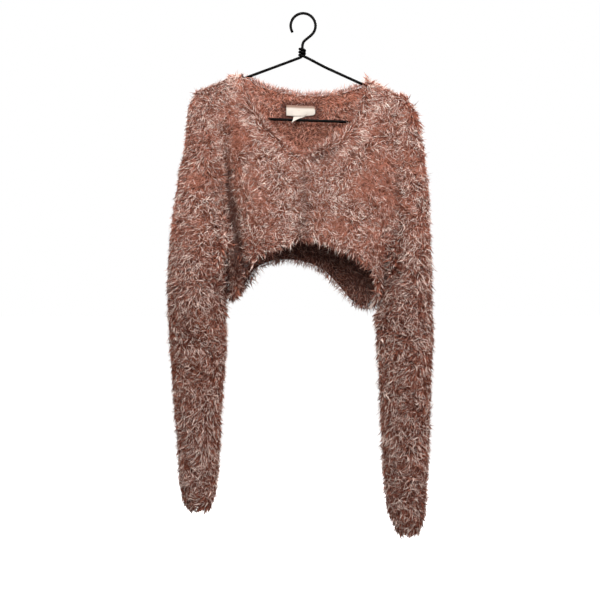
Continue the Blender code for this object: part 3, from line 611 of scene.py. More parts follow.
def satin_material(trim):
    """White woven satin: fine floats along X and faint wrinkles, both darkened with painted shade,
    and darker along the sewn top hem with painted shade of its fold.
    """
    made, tree, shader = new_material(
        "label_satin", Roughness=0.42, Sheen_Weight=0.35, Sheen_Roughness=0.3, Anisotropic=0.4,
        Specular_IOR_Level=0.5)
    sewn = stored(tree, "sewn")
    sewn_shade = (0.30, 0.175, 0.125)
    place = object_place(tree)
    floats = bands(tree, place, "Z", Scale=900.0, Distortion=1.2, Detail=1.0)
    crossing = bands(tree, place, "X", Scale=420.0, Distortion=0.6)
    wrinkle = noise(tree, place, 120.0, 3.0).outputs["Fac"]
    shade = darker(trim.satin, 0.80)
    # painted shade between the floats and in the wrinkles, then painted shade of the sewn hem's
    # fold
    colour = mixed(tree, times(tree, floats, 0.5), tuple(trim.satin), shade)
    colour = mixed(tree, share_ramp(tree, wrinkle, (0.35, 0.35), (0.6, 0.0)), colour, shade)
    colour = mixed(tree, sewn, colour, sewn_shade)
    tree.links.new(colour, shader.inputs["Base Color"])
    weave = plus(tree, times(tree, floats, 0.5), times(tree, crossing, 0.3))
    bump(tree, shader, plus(tree, weave, times(tree, wrinkle, 2.0)), 0.12 * MM)
    return made


def thread_material():
    """Cotton sewing thread, with the twist of its plies."""
    made, tree, shader = new_material("sewing_thread", Roughness=0.7, Sheen_Weight=0.4)
    twist = bands(tree, object_place(tree), "DIAGONAL", Scale=1600.0, Distortion=0.5)
    colour = ramp(tree, twist, [(0.2, (0.16, 0.09, 0.065)), (0.8, (0.30, 0.18, 0.13))])
    tree.links.new(colour, shader.inputs["Base Color"])
    bump(tree, shader, twist, 0.05 * MM)
    return made


def lacquer_material(trim):
    """Black lacquer on wire, with faint drawing lines and dust."""
    made, tree, shader = new_material(
        "black_lacquer", Specular_IOR_Level=0.06, Coat_Weight=0.01, Coat_Roughness=0.12)
    place = object_place(tree)
    grain = noise(tree, place, 420.0, 4.0, 0.6).outputs["Fac"]
    dust = noise(tree, place, 60.0, 3.0).outputs["Fac"]
    dusty = tuple(channel + 0.002 for channel in trim.lacquer)
    dustiness = share_ramp(tree, dust, (0.5, 0.0), (0.75, 1.0))
    colour = mixed(tree, dustiness, tuple(trim.lacquer), dusty)
    tree.links.new(colour, shader.inputs["Base Color"])
    rough = add_node(tree, "ShaderNodeMapRange", {"Value": grain, "To Min": 0.24, "To Max": 0.46})
    tree.links.new(rough.outputs["Result"], shader.inputs["Roughness"])
    bump(tree, shader, grain, 0.06 * MM)
    return made


def floor_material(glow):
    """Pale matt studio paper, lit nearly to white."""
    made, tree, shader = new_material(
        "pale_paper", Roughness=0.9, Specular_IOR_Level=0.1, Emission_Color=(1, 1, 1, 1),
        Emission_Strength=glow)
    mottle = noise(tree, object_place(tree), 3.0, 4.0).outputs["Fac"]
    colour = ramp(tree, mottle, [(0.3, (0.90, 0.895, 0.89)), (0.7, (0.93, 0.925, 0.92))])
    tree.links.new(colour, shader.inputs["Base Color"])
    return made


# Meshes

def link(made):
    bpy.context.scene.collection.objects.link(made)
    return made


def mesh_object(name, points, faces, material=None):
    mesh = bpy.data.meshes.new(name)
    mesh.from_pydata([tuple(point) for point in points], [], faces)
    if material:
        mesh.materials.append(material)
    mesh.shade_smooth()
    return link(bpy.data.objects.new(name, mesh))


def object_of(name, shape, material=None):
    """An object of this bmesh, which is freed."""
    mesh = bpy.data.meshes.new(name)
    shape.to_mesh(mesh)
    shape.free()
    if material:
        mesh.materials.append(material)
    mesh.shade_smooth()
    return link(bpy.data.objects.new(name, mesh))


def grid_faces(rows, length, flipped=False):
    """The quads between neighbouring rows of points, each row of this length."""
    faces = []
    for row in range(rows - 1):
        for corner in range(row * length, (row + 1) * length - 1):
            quad = [corner, corner + 1, corner + length + 1, corner + length]
            faces.append([quad[0], *quad[:0:-1]] if flipped else quad)
    return faces


def applied(source, name):
    """Makes an object's modifiers real: a plain mesh object of this name takes its place."""
    graph = bpy.context.evaluated_depsgraph_get()
    mesh = bpy.data.meshes.new_from_object(source.evaluated_get(graph), depsgraph=graph)
    mesh.name = name
    made = link(bpy.data.objects.new(name, mesh))
    bpy.data.objects.remove(source, do_unlink=True)
    return made


def store(mesh, name, values):
    """Stores one number or one vector for each point of the mesh."""
    kind, field = ("FLOAT_VECTOR", "vector") if np.ndim(values) == 2 else ("FLOAT", "value")
    made = mesh.attributes.new(name, kind, "POINT")
    made.data.foreach_set(field, np.ravel(values).astype(np.float32))


def subdivided(shape, levels):
    modifier = shape.modifiers.new("Smooth", "SUBSURF")
    modifier.levels = modifier.render_levels = levels
    modifier.boundary_smooth = "PRESERVE_CORNERS"


def thickened(shape, thickness, offset):
    modifier = shape.modifiers.new("Thickness", "SOLIDIFY")
    modifier.thickness = thickness
    modifier.offset = offset


def join_quads(shape, bend):
    """Makes quads again of pairs of triangles that lie within this angle of each other."""
    bmesh.ops.join_triangles(
        shape, faces=shape.faces, angle_face_threshold=bend, angle_shape_threshold=QUAD_SHAPE)


def merged_copy(node):
    """The node's mesh with its loose triangles joined, as a bmesh."""
    shape = bmesh.new()
    shape.from_mesh(frame["nodes"][node].data)
    bmesh.ops.remove_doubles(shape, verts=shape.verts, dist=MERGE)
    shape.normal_update()
    shape.faces.ensure_lookup_table()
    return shape


def neighbours(face):
    """The faces across this one's edges, each with the angle between the two."""
    for edge in face.edges:
        for other in edge.link_faces:
            if other != face:
                yield edge.calc_face_angle(math.pi), other


def smooth_groups(faces, allowed):
    """The allowed faces in groups, each reached without crossing a sharp edge."""
    left = set(allowed)
    groups = []
    for face in faces:
        if face not in left:
            continue
        left.discard(face)
        group = [face]
        for reached in group:
            for angle, other in neighbours(reached):
                if other in left and angle < SMOOTH:
                    left.discard(other)
                    group.append(other)
        groups.append(group)
    return groups


def spread(faces, owner, loose):
    """Gives each loose or enclosed face to the side that it joins most smoothly."""
    changed = True
    while changed:
        changed = False
        for face in faces:
            near = [(angle, owner[other]) for angle, other in neighbours(face) if other in owner]
            if face in owner or not near:
                continue
            enclosed = len(near) == len(face.edges) and len({side for _, side in near}) == 1
            if enclosed or (face in loose and min(near)[0] < FOLDED):
                owner[face] = min(near)[1]
                changed = True


def add_strips(groups, owner, across):
    """Gives each wide group that no side has reached to the side opposite the one it faces."""
    for group in groups:
        facing_sides = [owner[across[face]] for face in group if across[face] in owner]
        wide = area_of(group) > LEAST_STRIP
        if wide and facing_sides and not any(face in owner for face in group):
            side = 1 - round(sum(facing_sides) / len(facing_sides))
            owner.update((face, side) for face in group)


def area_of(faces):
    return sum(face.calc_area() for face in faces)


def outwardness(face):
    """The face's area, as far as it faces away from the middle plane."""
    centre = face.calc_center_median()
    return face.calc_area() * face.normal.y * math.copysign(1, centre.y)


def wall_sides(node):
    """The outside and inside of a cloth node's wall, each as points, normals and faces.

    A face is in the wall if another face lies across the wall from it. The two largest smooth
    groups of such faces are the sides, and the faces and strips that a fold cuts off are added to
    them. The wall's rims are left out.
    """
    shape = merged_copy(node)
    tree = BVHTree.FromBMesh(shape)
    across = {}
    loose = set()
    for face in shape.faces:
        inward = -face.normal
        start = face.calc_center_median() + inward * RAY_START
        _, normal, number, _ = tree.ray_cast(start, inward, RAY_REACH)
        facing = normal.dot(face.normal) if normal else 1
        if facing < OPPOSITE:
            across[face] = shape.faces[number]
        if facing < NEARLY_OPPOSITE:
            loose.add(face)
    groups = sorted(smooth_groups(shape.faces, across), key=lambda group: -area_of(group))
    owner = {face: side for side, group in enumerate(groups[:2]) for face in group}
    spread(shape.faces, owner, loose)
    add_strips(groups[2:], owner, across)
    spread(shape.faces, owner, loose)
    sides = [[face for face in shape.faces if owner.get(face) == side] for side in (0, 1)]
    sides.sort(key=lambda side: -sum(outwardness(face) for face in side))
    found = [open_side(side) for side in sides]
    shape.free()
    return found


def open_side(faces):
    """One side of a wall as a mesh of its own, with quads where two of its triangles made one."""
    side = bmesh.new()
    copies = {}
    for face in faces:
        for vertex in face.verts:
            if vertex not in copies:
                copies[vertex] = side.verts.new(vertex.co)
        side.faces.new([copies[vertex] for vertex in face.verts])
    side.normal_update()
    join_quads(side, CLOTH_QUAD)
    side.normal_update()
    side.verts.index_update()
    points = np.array([vertex.co for vertex in side.verts])
    normals = np.array([vertex.normal for vertex in side.verts])
    polygons = [[vertex.index for vertex in face.verts] for face in side.faces]
    side.free()
    return points, normals, polygons


# Geometry Nodes

def new_tree(name, inputs):
    """A tree of Geometry Nodes with these named inputs, and the outputs of its first node."""
    tree = bpy.data.node_groups.new(name, "GeometryNodeTree")
    tree.is_modifier = True
    for socket, kind in {"Geometry": "Geometry", **inputs}.items():
        tree.interface.new_socket(socket, in_out="INPUT", socket_type="NodeSocket" + kind)
    tree.interface.new_socket("Geometry", in_out="OUTPUT", socket_type="NodeSocketGeometry")
    return tree, add_node(tree, "NodeGroupInput").outputs


def end_tree(tree, placed, material):
    """Makes a tree's instances real, with this material."""
    real = add_node(tree, "GeometryNodeRealizeInstances", {"Geometry": placed})
    finished = add_node(
        tree, "GeometryNodeSetMaterial", {"Geometry": real.outputs[0], "Material": material})
    add_node(tree, "NodeGroupOutput", {0: finished.outputs[0]})


def run_tree(shape, tree, name, values):
    """Runs a tree on the object and returns the result as a plain mesh object of this name.

    The modifier's inputs are found by the identifiers of their sockets.
    """
    modifier = shape.modifiers.new("Tree", "NODES")
    modifier.node_group = tree
    for item in tree.interface.items_tree:
        if item.item_type == "SOCKET" and item.in_out == "INPUT" and item.name in values:
            modifier[item.identifier] = values[item.name]
    return applied(shape, name)


# The knit

class CARDIGAN_OT_knit(bpy.types.Operator):
    """Makes the knit of the back, fronts, sleeves and neckband as thin shells"""

    bl_idname = "cardigan.knit"
    bl_label = "Knit the pieces"

    def execute(self, context):
        yarn = context.scene.cardigan_yarn
        material = knit_material(yarn)
        for piece in PIECES:
            points, normals, polygons = wall_sides(piece.node)[0]
            shell = mesh_object("knit_draft", points - normals * OUTER_PILE, polygons, material)
            subdivided(shell, 1)
            thickened(shell, yarn.thickness, -1)
            knit = applied(shell, piece.node + "_knit")
            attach(knit, "root")
            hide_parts(piece.node)
        return {"FINISHED"}


# The lashes

def lash_shape(name, bend, width, collection):
    """One lash of unit length: a thin closed sliver that starts upright and bends over to +X."""
    at_middle = bend * LASH_MIDDLE_BEND
    points = [
        (0.0, 0.0, 0.0),
        (at_middle, width / 2, LASH_MIDDLE),
        (at_middle, -width / 2, LASH_MIDDLE),
        (bend, 0.0, math.sqrt(1 - bend**2)),
    ]
    lash = mesh_object(name, points, [[0, 2, 1], [3, 1, 2], [0, 1, 3], [0, 3, 2]])
    lash.data.shade_flat()
    store(lash.data, "along", [0.0, LASH_MIDDLE, LASH_MIDDLE, 1.0])
    bpy.context.scene.collection.objects.unlink(lash)
    collection.objects.link(lash)


def pile_tree():
    """Scatters lashes over a mesh, each leaning as its tuft lies, with some scatter of its own."""
    tree, given = new_tree("Pile of lashes", {
        "Lashes": "Collection", "Density": "Float", "Length": "Float", "Lean": "Float",
        "Scatter": "Float", "Tuft size": "Float", "Seed": "Int", "Material": "Material"})

    def attribute(name, kind="FLOAT"):
        return add_node(
            tree, "GeometryNodeInputNamedAttribute", {"Name": name}, data_type=kind).outputs[0]

    def drawn(name, low, high, kind="FLOAT"):
        """A random value for each lash."""
        seed = plus(tree, given["Seed"], DRAWS[name])
        node = add_node(tree, "FunctionNodeRandomValue", {"Seed": seed}, data_type=kind)
        sockets = [s for s in node.inputs if s.enabled and s.name in ("Min", "Max")]
        sockets[0].default_value = low
        sockets[1].default_value = high
        return next(s for s in node.outputs if s.enabled)

    def pull(fineness, strength):
        """The way that noise of this fineness combs the lashes."""
        colour = noise(tree, place, fineness, 1.0).outputs["Color"]
        return scaled(tree, vectors(tree, "SUBTRACT", colour, (0.5,) * 3), strength)

    scattered = add_node(
        tree, "GeometryNodeDistributePointsOnFaces",
        {"Mesh": given["Geometry"], "Density": times(tree, given["Density"], attribute("cover")),
         "Seed": given["Seed"]}, distribute_method="RANDOM")
    normal = scattered.outputs["Normal"]

    place = add_node(tree, "GeometryNodeInputPosition").outputs[0]
    fineness = maths(tree, "DIVIDE", 1.0, given["Tuft size"])
    stray = drawn("stray", (-1.0,) * 3, (1.0,) * 3, "FLOAT_VECTOR")
    comb = vectors(tree, "ADD", attribute("comb", "FLOAT_VECTOR"), pull(fineness, TUFT_PULL))
    comb = vectors(tree, "ADD", comb, pull(maths(tree, "DIVIDE", fineness, SWEEP_SIZE), SWEEP_PULL))
    comb = vectors(tree, "ADD", comb, scaled(tree, stray, given["Scatter"]))
    upright = scaled(tree, normal, vectors(tree, "DOT_PRODUCT", comb, normal))
    lie = vectors(tree, "NORMALIZE", vectors(tree, "SUBTRACT", comb, upright))

    leaning = times(tree, given["Lean"], drawn("lean", *LEAN_RANGE))
    leaning = times(tree, leaning, attribute("press"))
    up = scaled(tree, normal, maths(tree, "COSINE", leaning))
    over = scaled(tree, lie, maths(tree, "SINE", leaning))
    direction = vectors(tree, "ADD", up, over)
    turned = add_node(tree, "FunctionNodeAlignRotationToVector", {"Vector": direction}, axis="Z")
    bent = add_node(
        tree, "FunctionNodeAlignRotationToVector",
        {"Rotation": turned.outputs[0], "Vector": lie}, axis="X", pivot_axis="Z")

    long_ones = maths(tree, "POWER", drawn("long", 0.0, 1.0), RARENESS_OF_LONG)
    length = plus(tree, drawn("length", *LENGTH_RANGE), times(tree, long_ones, EXTRA_OF_LONG))
    length = times(tree, times(tree, length, attribute("reach")), given["Length"])
    kinds = add_node(
        tree, "GeometryNodeCollectionInfo",
        {"Collection": given["Lashes"], "Separate Children": True, "Reset Children": True})
    kind = drawn("kind", 0, len(LASH_KINDS) - 1, "INT")
    placed = add_node(
        tree, "GeometryNodeInstanceOnPoints",
        {"Points": scattered.outputs["Points"], "Instance": kinds.outputs[0],
         "Pick Instance": True, "Instance Index": kind, "Rotation": bent.outputs[0],
         "Scale": length}).outputs[0]
    patch = noise(tree, place, times(tree, fineness, PATCH_FINENESS), 2.0).outputs["Fac"]
    for name, value in (("tone", drawn("tone", 0.0, 1.0)), ("patch", patch)):
        placed = add_node(
            tree, "GeometryNodeStoreNamedAttribute",
            {"Geometry": placed, "Name": name, "Value": value},
            data_type="FLOAT", domain="INSTANCE").outputs[0]
    end_tree(tree, placed, given["Material"])
    return tree


def smooth_step(low, high, values):
    share = np.clip((values - low) / (high - low), 0, 1)
    return share * share * (3 - 2 * share)


def in_plane(ways):
    """Ways given in x and z, as vectors that lie in the middle plane."""
    return np.stack([ways[:, 0], np.zeros(len(ways)), ways[:, 1]], axis=-1)


def tube_middle(points):
    """For each point of a hanging tube, the middle and half width of the tube at its height."""
    rows = np.floor(points[:, 2] / SLEEVE_STEP).astype(int)
    middle = np.empty(len(points))
    half = np.empty(len(points))
    for row in np.unique(rows):
        here = np.abs(rows - row) <= 1
        low, high = points[here, 0].min(), points[here, 0].max()
        middle[rows == row] = (low + high) / 2
        half[rows == row] = max((high - low) / 2, SLEEVE_STEP / 4)
    return middle, half


def comb_of(piece, points):
    """Which way the lashes lie on a piece, before lines, tufts and scatter."""
    x, z = points[:, 0], points[:, 2]
    sideways = np.zeros(len(points))
    droop = np.full(len(points), BODY_DROOP)
    if piece.node.endswith("sleeve"):
        middle, half = tube_middle(points)
        sideways = SLEEVE_SPREAD * np.clip((x - middle) / half, -1, 1)
        droop[:] = SLEEVE_DROOP
    elif piece.node == "neckband":
        away = np.sign(x - CENTRE_FRONT_X) * np.clip(np.abs(x) / BAND_MIDDLE, 0, 1)
        sideways = BAND_SPREAD * away
        droop = np.where(z < BAND_FRONT, BAND_FRONT_DROOP, BAND_DROOP)
    return in_plane(np.stack([sideways, -droop], axis=-1))


def line_pull(line, points):
    """How near each point is to a line, from 0 to 1, and the way from the line to it."""
    here = points[:, [0, 2]]
    nearest = np.full(len(points), np.inf)
    away = np.zeros((len(points), 2))
    for start, end in zip(np.array(line.points), np.array(line.points[1:])):
        run = end - start
        share = np.clip((here - start) @ run / (run @ run), 0, 1)
        offset = here - (start + share[:, None] * run)
        distance = np.linalg.norm(offset, axis=1)
        closer = distance < nearest
        nearest[closer] = distance[closer]
        away[closer] = offset[closer] / np.maximum(distance[closer], MERGE)[:, None]
    return 1 - smooth_step(0, line.reach, nearest), in_plane(away)


def label_pull(points, label_box):
    """How near each point is to the label, from 0 to 1, and the way from it."""
    low, high = label_box
    here = points[:, [0, 2]]
    offset = here - np.clip(here, (low.x, low.z), (high.x, high.z))
    distance = np.linalg.norm(offset, axis=1)
    away = offset / np.maximum(distance, MERGE)[:, None]
    return 1 - smooth_step(0, LABEL_CLEAR, distance), in_plane(away)


def rim_pull(mesh, neighbour_tree):
    """For each point, how far the mesh's edge is, and the way out over it, shorter over a seam."""
    shape = bmesh.new()
    shape.from_mesh(mesh)
    outward = {}
    for edge in shape.edges:
        if len(edge.link_faces) != 1:
            continue
        first, second = (vertex.co for vertex in edge.verts)
        run = (second - first).normalized()
        out = (first + second) / 2 - edge.link_faces[0].calc_center_median()
        out -= run * out.dot(run)
        for vertex in edge.verts:
            outward[vertex] = outward.get(vertex, Vector()) + out.normalized()
    rim = KDTree(len(outward))
    pulls = []
    for vertex, out in outward.items():
        sewn = neighbour_tree.find_nearest(vertex.co, SEAM_GAP + OUTER_PILE)[0] is not None
        rim.insert(vertex.co, len(pulls))
        pulls.append(out.normalized() * (SEAM_PULL if sewn else 1.0))
    rim.balance()
    distances = np.zeros(len(mesh.vertices))
    ways = np.zeros((len(mesh.vertices), 3))
    for vertex in shape.verts:
        _, number, distances[vertex.index] = rim.find(vertex.co)
        ways[vertex.index] = pulls[number]
    shape.free()
    return distances, ways


def sight_of(piece, points, label_box):
    """1 where the inside of a piece can be seen, and 0 where it can't or the label lies."""
    x, y, z = points.T
    if piece.node.endswith("sleeve"):
        return (z < z.min() + CUFF_SIGHT).astype(float)
    wide = np.where(z > NECK_TOP, NECK_TOP_SIGHT, NECK_WIDE_SIGHT)
    seen = ((z > NECK_SIGHT) & (np.abs(x) < wide)) | (z < HEM_SIGHT)
    low, high = label_box
    beside = (x > low.x - LABEL_MARGIN) & (x < high.x + LABEL_MARGIN)
    level = (z > low.z - LABEL_MARGIN_BELOW) & (z < high.z - LABEL_MARGIN)
    return (seen & ~(beside & level & (y > 0))).astype(float)


def inside_painted_light(piece, points):
    """Painted light inside: lit through the neck, with painted shadow below the bar and in the
    cuffs.
    """
    if piece.node.endswith("sleeve"):
        return np.full(len(points), CUFF_PAINTED_SHADE)
    below_bar = smooth_step(
        -BAR_HEIGHT - SHADE_ABOVE_BAR, -BAR_HEIGHT + SHADE_BELOW_BAR, -points[:, 2])
    return NECK_PAINTED_LIGHT * (1 - below_bar) + BELOW_BAR_PAINTED_SHADE * below_bar


def outside_painted_light(piece, points):
    """Painted shade: the sleeves darken a little towards the cuffs."""
    if piece.node.endswith("sleeve"):
        return SLEEVE_PAINTED_SHADE * smooth_step(*SLEEVE_SHADE, -points[:, 2])
    return np.zeros(len(points))


def lay_lashes(draft, piece, inside, label_box, neighbour_tree):
    """Stores how many lashes stand at each point, how long, flat and which way, and their painted
    shade, highlight and bounce light.
    """
    count = len(draft.data.vertices)
    points = np.empty(count * 3)
    draft.data.vertices.foreach_get("co", points)
    points = points.reshape(-1, 3)
    comb = comb_of(piece, points)
    cover = 1.0
    # painted light: painted shade below 0 and painted highlight above 0, from how the piece is lit
    tint = (inside_painted_light if inside else outside_painted_light)(piece, points)
    reach = np.full(count, INSIDE_REACH if inside else piece.reach)
    thick = np.zeros(count)
    warm = np.zeros(count)
    for line in LINES if not inside else ():
        if piece.node.endswith(line.kind):
            near, away = line_pull(line, points)
            comb += away * (near * line.push)[:, None]
            # each line adds its painted shade below 0 and its painted highlight above 0
            tint = tint + near * line.tint
            reach += near * line.grow
            thick += near * max(line.grow, 0.0)

    distance, ways = rim_pull(draft.data, neighbour_tree)
    rim = np.clip(1 - distance / RIM_REACH, 0, 1)
    hem = rim * (points[:, 2] < HEM_SIGHT)
    free = np.linalg.norm(ways, axis=1) > (1 + SEAM_PULL) / 2
    comb = comb * (1 - RIM_CALM * rim)[:, None] + ways * (RIM_PULL * rim)[:, None]
    reach = reach + (-HEM_TRIM if piece.node == "back" else HEM_FRINGE) * hem
    if inside:
        cover = sight_of(piece, points, label_box) * piece.inside_density / piece.density
        # inside, light that reaches in near the rims takes off some painted shade
        tint = tint * (1 - RIM_UNSHADED * np.clip(1 - distance / RIM_LIGHT, 0, 1))
        # warm painted bounce light inside, weaker near the rims
        warm = np.where(points[:, 2] < HEM_SIGHT, HEM_BOUNCE_LIGHT, NECK_BOUNCE_LIGHT) * (1 - RIM_LESS_BOUNCE * rim)
        near, away = label_pull(points, label_box)
        comb += away * (LABEL_PUSH * near)[:, None]
        reach *= 1 - LABEL_SHORTER * near
    else:
        # outside, a painted highlight along the rims
        tint = tint + RIM_HIGHLIGHT * rim

    thickness = 1 + RIM_THICKER * rim - HEM_THINNER * hem * free + LINE_THICKER * thick
    store(draft.data, "cover", cover * thickness)
    store(draft.data, "reach", np.maximum(reach * (1 - RIM_SHORTER * rim), LEAST_REACH))
    store(draft.data, "press", (INSIDE_PRESS if inside else 1.0) * (1 + RIM_FLATTER * rim))
    # the painted shade and highlight, then the warm painted bounce light
    store(draft.data, "tint", np.clip(tint, -1, 1))
    store(draft.data, "warm", warm)
    store(draft.data, "comb", comb)


def lash_ground(piece, sides, label_box, neighbour_tree):
    """The surfaces that a piece's lashes stand on, outside and inside, joined in one object."""
    drafts = []
    for (points, normals, polygons), depth, inside in zip(
            sides, (OUTER_PILE, INNER_PILE), (False, True)):
        draft = mesh_object("side_draft", points - normals * depth, polygons)
        subdivided(draft, 2)
        draft = applied(draft, "ground_draft")
        lay_lashes(draft, piece, inside, label_box, neighbour_tree)
        drafts.append(draft)
    with bpy.context.temp_override(active_object=drafts[0], selected_editable_objects=drafts):
        bpy.ops.object.join()
    return drafts[0]


def keep_part(ground, part):
    """Leaves only the upper or lower part of a sleeve's ground."""
    shape = bmesh.new()
    shape.from_mesh(ground.data)
    wrong = [face for face in shape.faces
             if (face.calc_center_median().z > SLEEVE_SPLIT) != (part == "upper")]
    bmesh.ops.delete(shape, geom=wrong, context="FACES")
    shape.to_mesh(ground.data)
    shape.free()


def neighbours_of(node):
    """A search tree of the other cloth nodes."""
    joined = bmesh.new()
    for piece in PIECES:
        if piece.node != node:
            joined.from_mesh(frame["nodes"][piece.node].data)
    tree = BVHTree.FromBMesh(joined)
    joined.free()
    return tree


class CARDIGAN_OT_lashes(bpy.types.Operator):
    """Covers the knit with the lashes of its yarn, outside and where the inside shows"""

    bl_idname = "cardigan.lashes"
    bl_label = "Grow the lashes"

    def execute(self, context):
        yarn = context.scene.cardigan_yarn
        kinds = bpy.data.collections.new("Lash shapes")
        for number, (bend, widen) in enumerate(LASH_KINDS):
            lash_shape(f"lash_shape_{number}", bend, yarn.lash_width * widen, kinds)
        tree = pile_tree()
        values = {
            "Lashes": kinds,
            "Length": yarn.lash_length,
            "Lean": yarn.lean,
            "Scatter": yarn.scatter,
            "Tuft size": yarn.tuft,
            "Material": lash_material(yarn),
        }
        label_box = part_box("neck_label")
        for number, piece in enumerate(PIECES):
            sides = wall_sides(piece.node)
            neighbour_tree = neighbours_of(piece.node)
            values.update({"Density": piece.density, "Seed": yarn.seed + number})
            for part in SLEEVE_PARTS if piece.node.endswith("sleeve") else ("",):
                ground = lash_ground(piece, sides, label_box, neighbour_tree)
                if part:
                    keep_part(ground, part)
                name = "_".join(filter(None, (piece.node, part, "lashes")))
                pile = run_tree(ground, tree, name, values)
                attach(pile, "root")
        for shape in list(kinds.objects):
            bpy.data.objects.remove(shape, do_unlink=True)
        bpy.data.collections.remove(kinds)
        return {"FINISHED"}


# Label, tag and hanger

def label_outline(low, high, across):
    """At a share of the way along the label: x, and the heights of its lower and upper edges."""
    x = low.x + LABEL_EDGE + (high.x - low.x - 2 * LABEL_EDGE) * across

    def corner(radius, distance):
        inset = max(0.0, radius - distance)
        return radius - math.sqrt(radius**2 - inset**2)

    rounding = corner(LABEL_SMALL_CORNER, x - low.x), corner(LABEL_LARGE_CORNER, high.x - x)
    lift = LABEL_SAG * (2 * across - 1) ** 2 + LABEL_RISE * across**3
    lift += rounding[0] + rounding[1]
    drop = LABEL_SLOPE * across
    drop += rounding[0] + rounding[1]
    return x, low.z + LABEL_EDGE + LABEL_FOLD + lift, high.z - LABEL_EDGE - drop


def clamped(value, low, high):
    return min(max(value, low), high)


def label_sheet(material):
    """The label, one strip of satin: a back layer, the fold at its foot, a front that bellies."""
    tree = BVHTree.FromBMesh(merged_copy("neck_label"))
    low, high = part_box("neck_label")
    middle = (low.y + high.y) / 2
    points = []
    sewn = []
    for column in range(LABEL_COLUMNS):
        across = math.sin(math.pi / 2 * column / (LABEL_COLUMNS - 1))
        x, foot, top = label_outline(low, high, across)
        wave = 1 - LABEL_WAVE + LABEL_WAVE * math.sin(LABEL_WAVES * math.pi * across)
        inner_x = clamped(x, low.x + 2 * LABEL_EDGE, high.x - 2 * LABEL_EDGE)
        for way in (1, -1):
            for row in range(LABEL_ROWS):
                share = row / (LABEL_ROWS - 1)
                if way < 0:
                    share = 1 - share
                z = top + (foot - top) * share
                inner_z = clamped(z, low.z + 2 * LABEL_EDGE, high.z - 2 * LABEL_EDGE)
                start = Vector((inner_x, middle + way * LABEL_RAY, inner_z))
                hit = tree.ray_cast(start, Vector((0, -way, 0)))[0]
                y = hit.y if hit else middle
                if way < 0:
                    y -= LABEL_BELLY * math.sin(math.pi * share) * wave
                points.append((x, y, z))
                # how much painted shade of the sewn hem's fold lies here
                sewn.append(clamped(LABEL_SEWN - (top - z) / LABEL_HEM, 0.0, 1.0))
            if way > 0:
                y = points[-1][1] - LABEL_FOLD * LABEL_FOLD_FORWARD
                points.append((x, y, foot - LABEL_FOLD))
                sewn.append(0.0)
    draft = mesh_object(
        "label_draft", points, grid_faces(LABEL_COLUMNS, 2 * LABEL_ROWS + 1), material)
    store(draft.data, "sewn", sewn)
    return draft


def tag_sheet(material):
    """The tag: a strip folded to a point, which comes from under the label and over the bar."""
    tree = BVHTree.FromBMesh(merged_copy("size_tag"))
    low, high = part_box("size_tag")
    tip = Vector((low.x - TAG_POINT, 0, low.z))
    left, right = Vector((low.x + TAG_INSET, 0, high.z)), Vector((high.x, 0, high.z))
    points = []
    for row in range(TAG_ROWS):
        down = row / (TAG_ROWS - 1)
        bow = math.sin(math.pi * down)
        first = left.lerp(tip, down)
        first.x += TAG_HOLLOW * bow
        last = right.lerp(tip, down)
        last += Vector((-TAG_HOLLOW, 0, TAG_HOLLOW)) * bow * 0.5
        last.x = max(last.x, first.x + TAG_EDGE)
        for column in range(TAG_COLUMNS):
            across = column / (TAG_COLUMNS - 1)
            place = first.lerp(last, across)
            height = clamped(place.z, low.z + TAG_EDGE, high.z - TAG_EDGE)
            start = Vector(((low.x + high.x) / 2 - TAG_RAY_SHIFT, -TAG_RAY, height))
            hit = tree.ray_cast(start, Vector((0, 1, 0)))[0]
            if hit is None:
                hit = tree.find_nearest(Vector((place.x, low.y, height)))[0]
            points.append((place.x, hit.y - TAG_BULGE * math.sin(math.pi * across), place.z))
    faces = grid_faces(TAG_ROWS, TAG_COLUMNS, flipped=True)
    return mesh_object("tag_draft", points, faces, material)


def stitch_tree():
    """Sets one stitch at each even step along a line, turned to lie along it."""
    tree, given = new_tree(
        "Row of stitches", {"Stitch": "Object", "Pitch": "Float", "Material": "Material"})
    line = add_node(tree, "GeometryNodeMeshToCurve", {"Mesh": given["Geometry"]})
    steps = add_node(
        tree, "GeometryNodeCurveToPoints",
        {"Curve": line.outputs[0], "Length": given["Pitch"]}, mode="LENGTH")
    stitch = add_node(
        tree, "GeometryNodeObjectInfo", {"Object": given["Stitch"], "As Instance": True})
    turned = add_node(
        tree, "FunctionNodeAlignRotationToVector", {"Vector": steps.outputs["Tangent"]}, axis="X")
    placed = add_node(
        tree, "GeometryNodeInstanceOnPoints",
        {"Points": steps.outputs["Points"], "Instance": stitch.outputs["Geometry"],
         "Rotation": turned.outputs[0]})
    end_tree(tree, placed.outputs[0], given["Material"])
    return tree


def stitch_shape(length):
    """One stitch: a thread that dips at both its ends, as a tapered spindle along X."""
    shape = bmesh.new()
    bmesh.ops.create_uvsphere(shape, u_segments=8, v_segments=6, radius=0.5)
    for vertex in shape.verts:
        x, y, z = vertex.co
        vertex.co = Vector((z * length, y * STITCH_WIDTH, x * STITCH_WIDTH))
    bmesh.ops.recalc_face_normals(shape, faces=shape.faces)
    return object_of("stitch", shape)


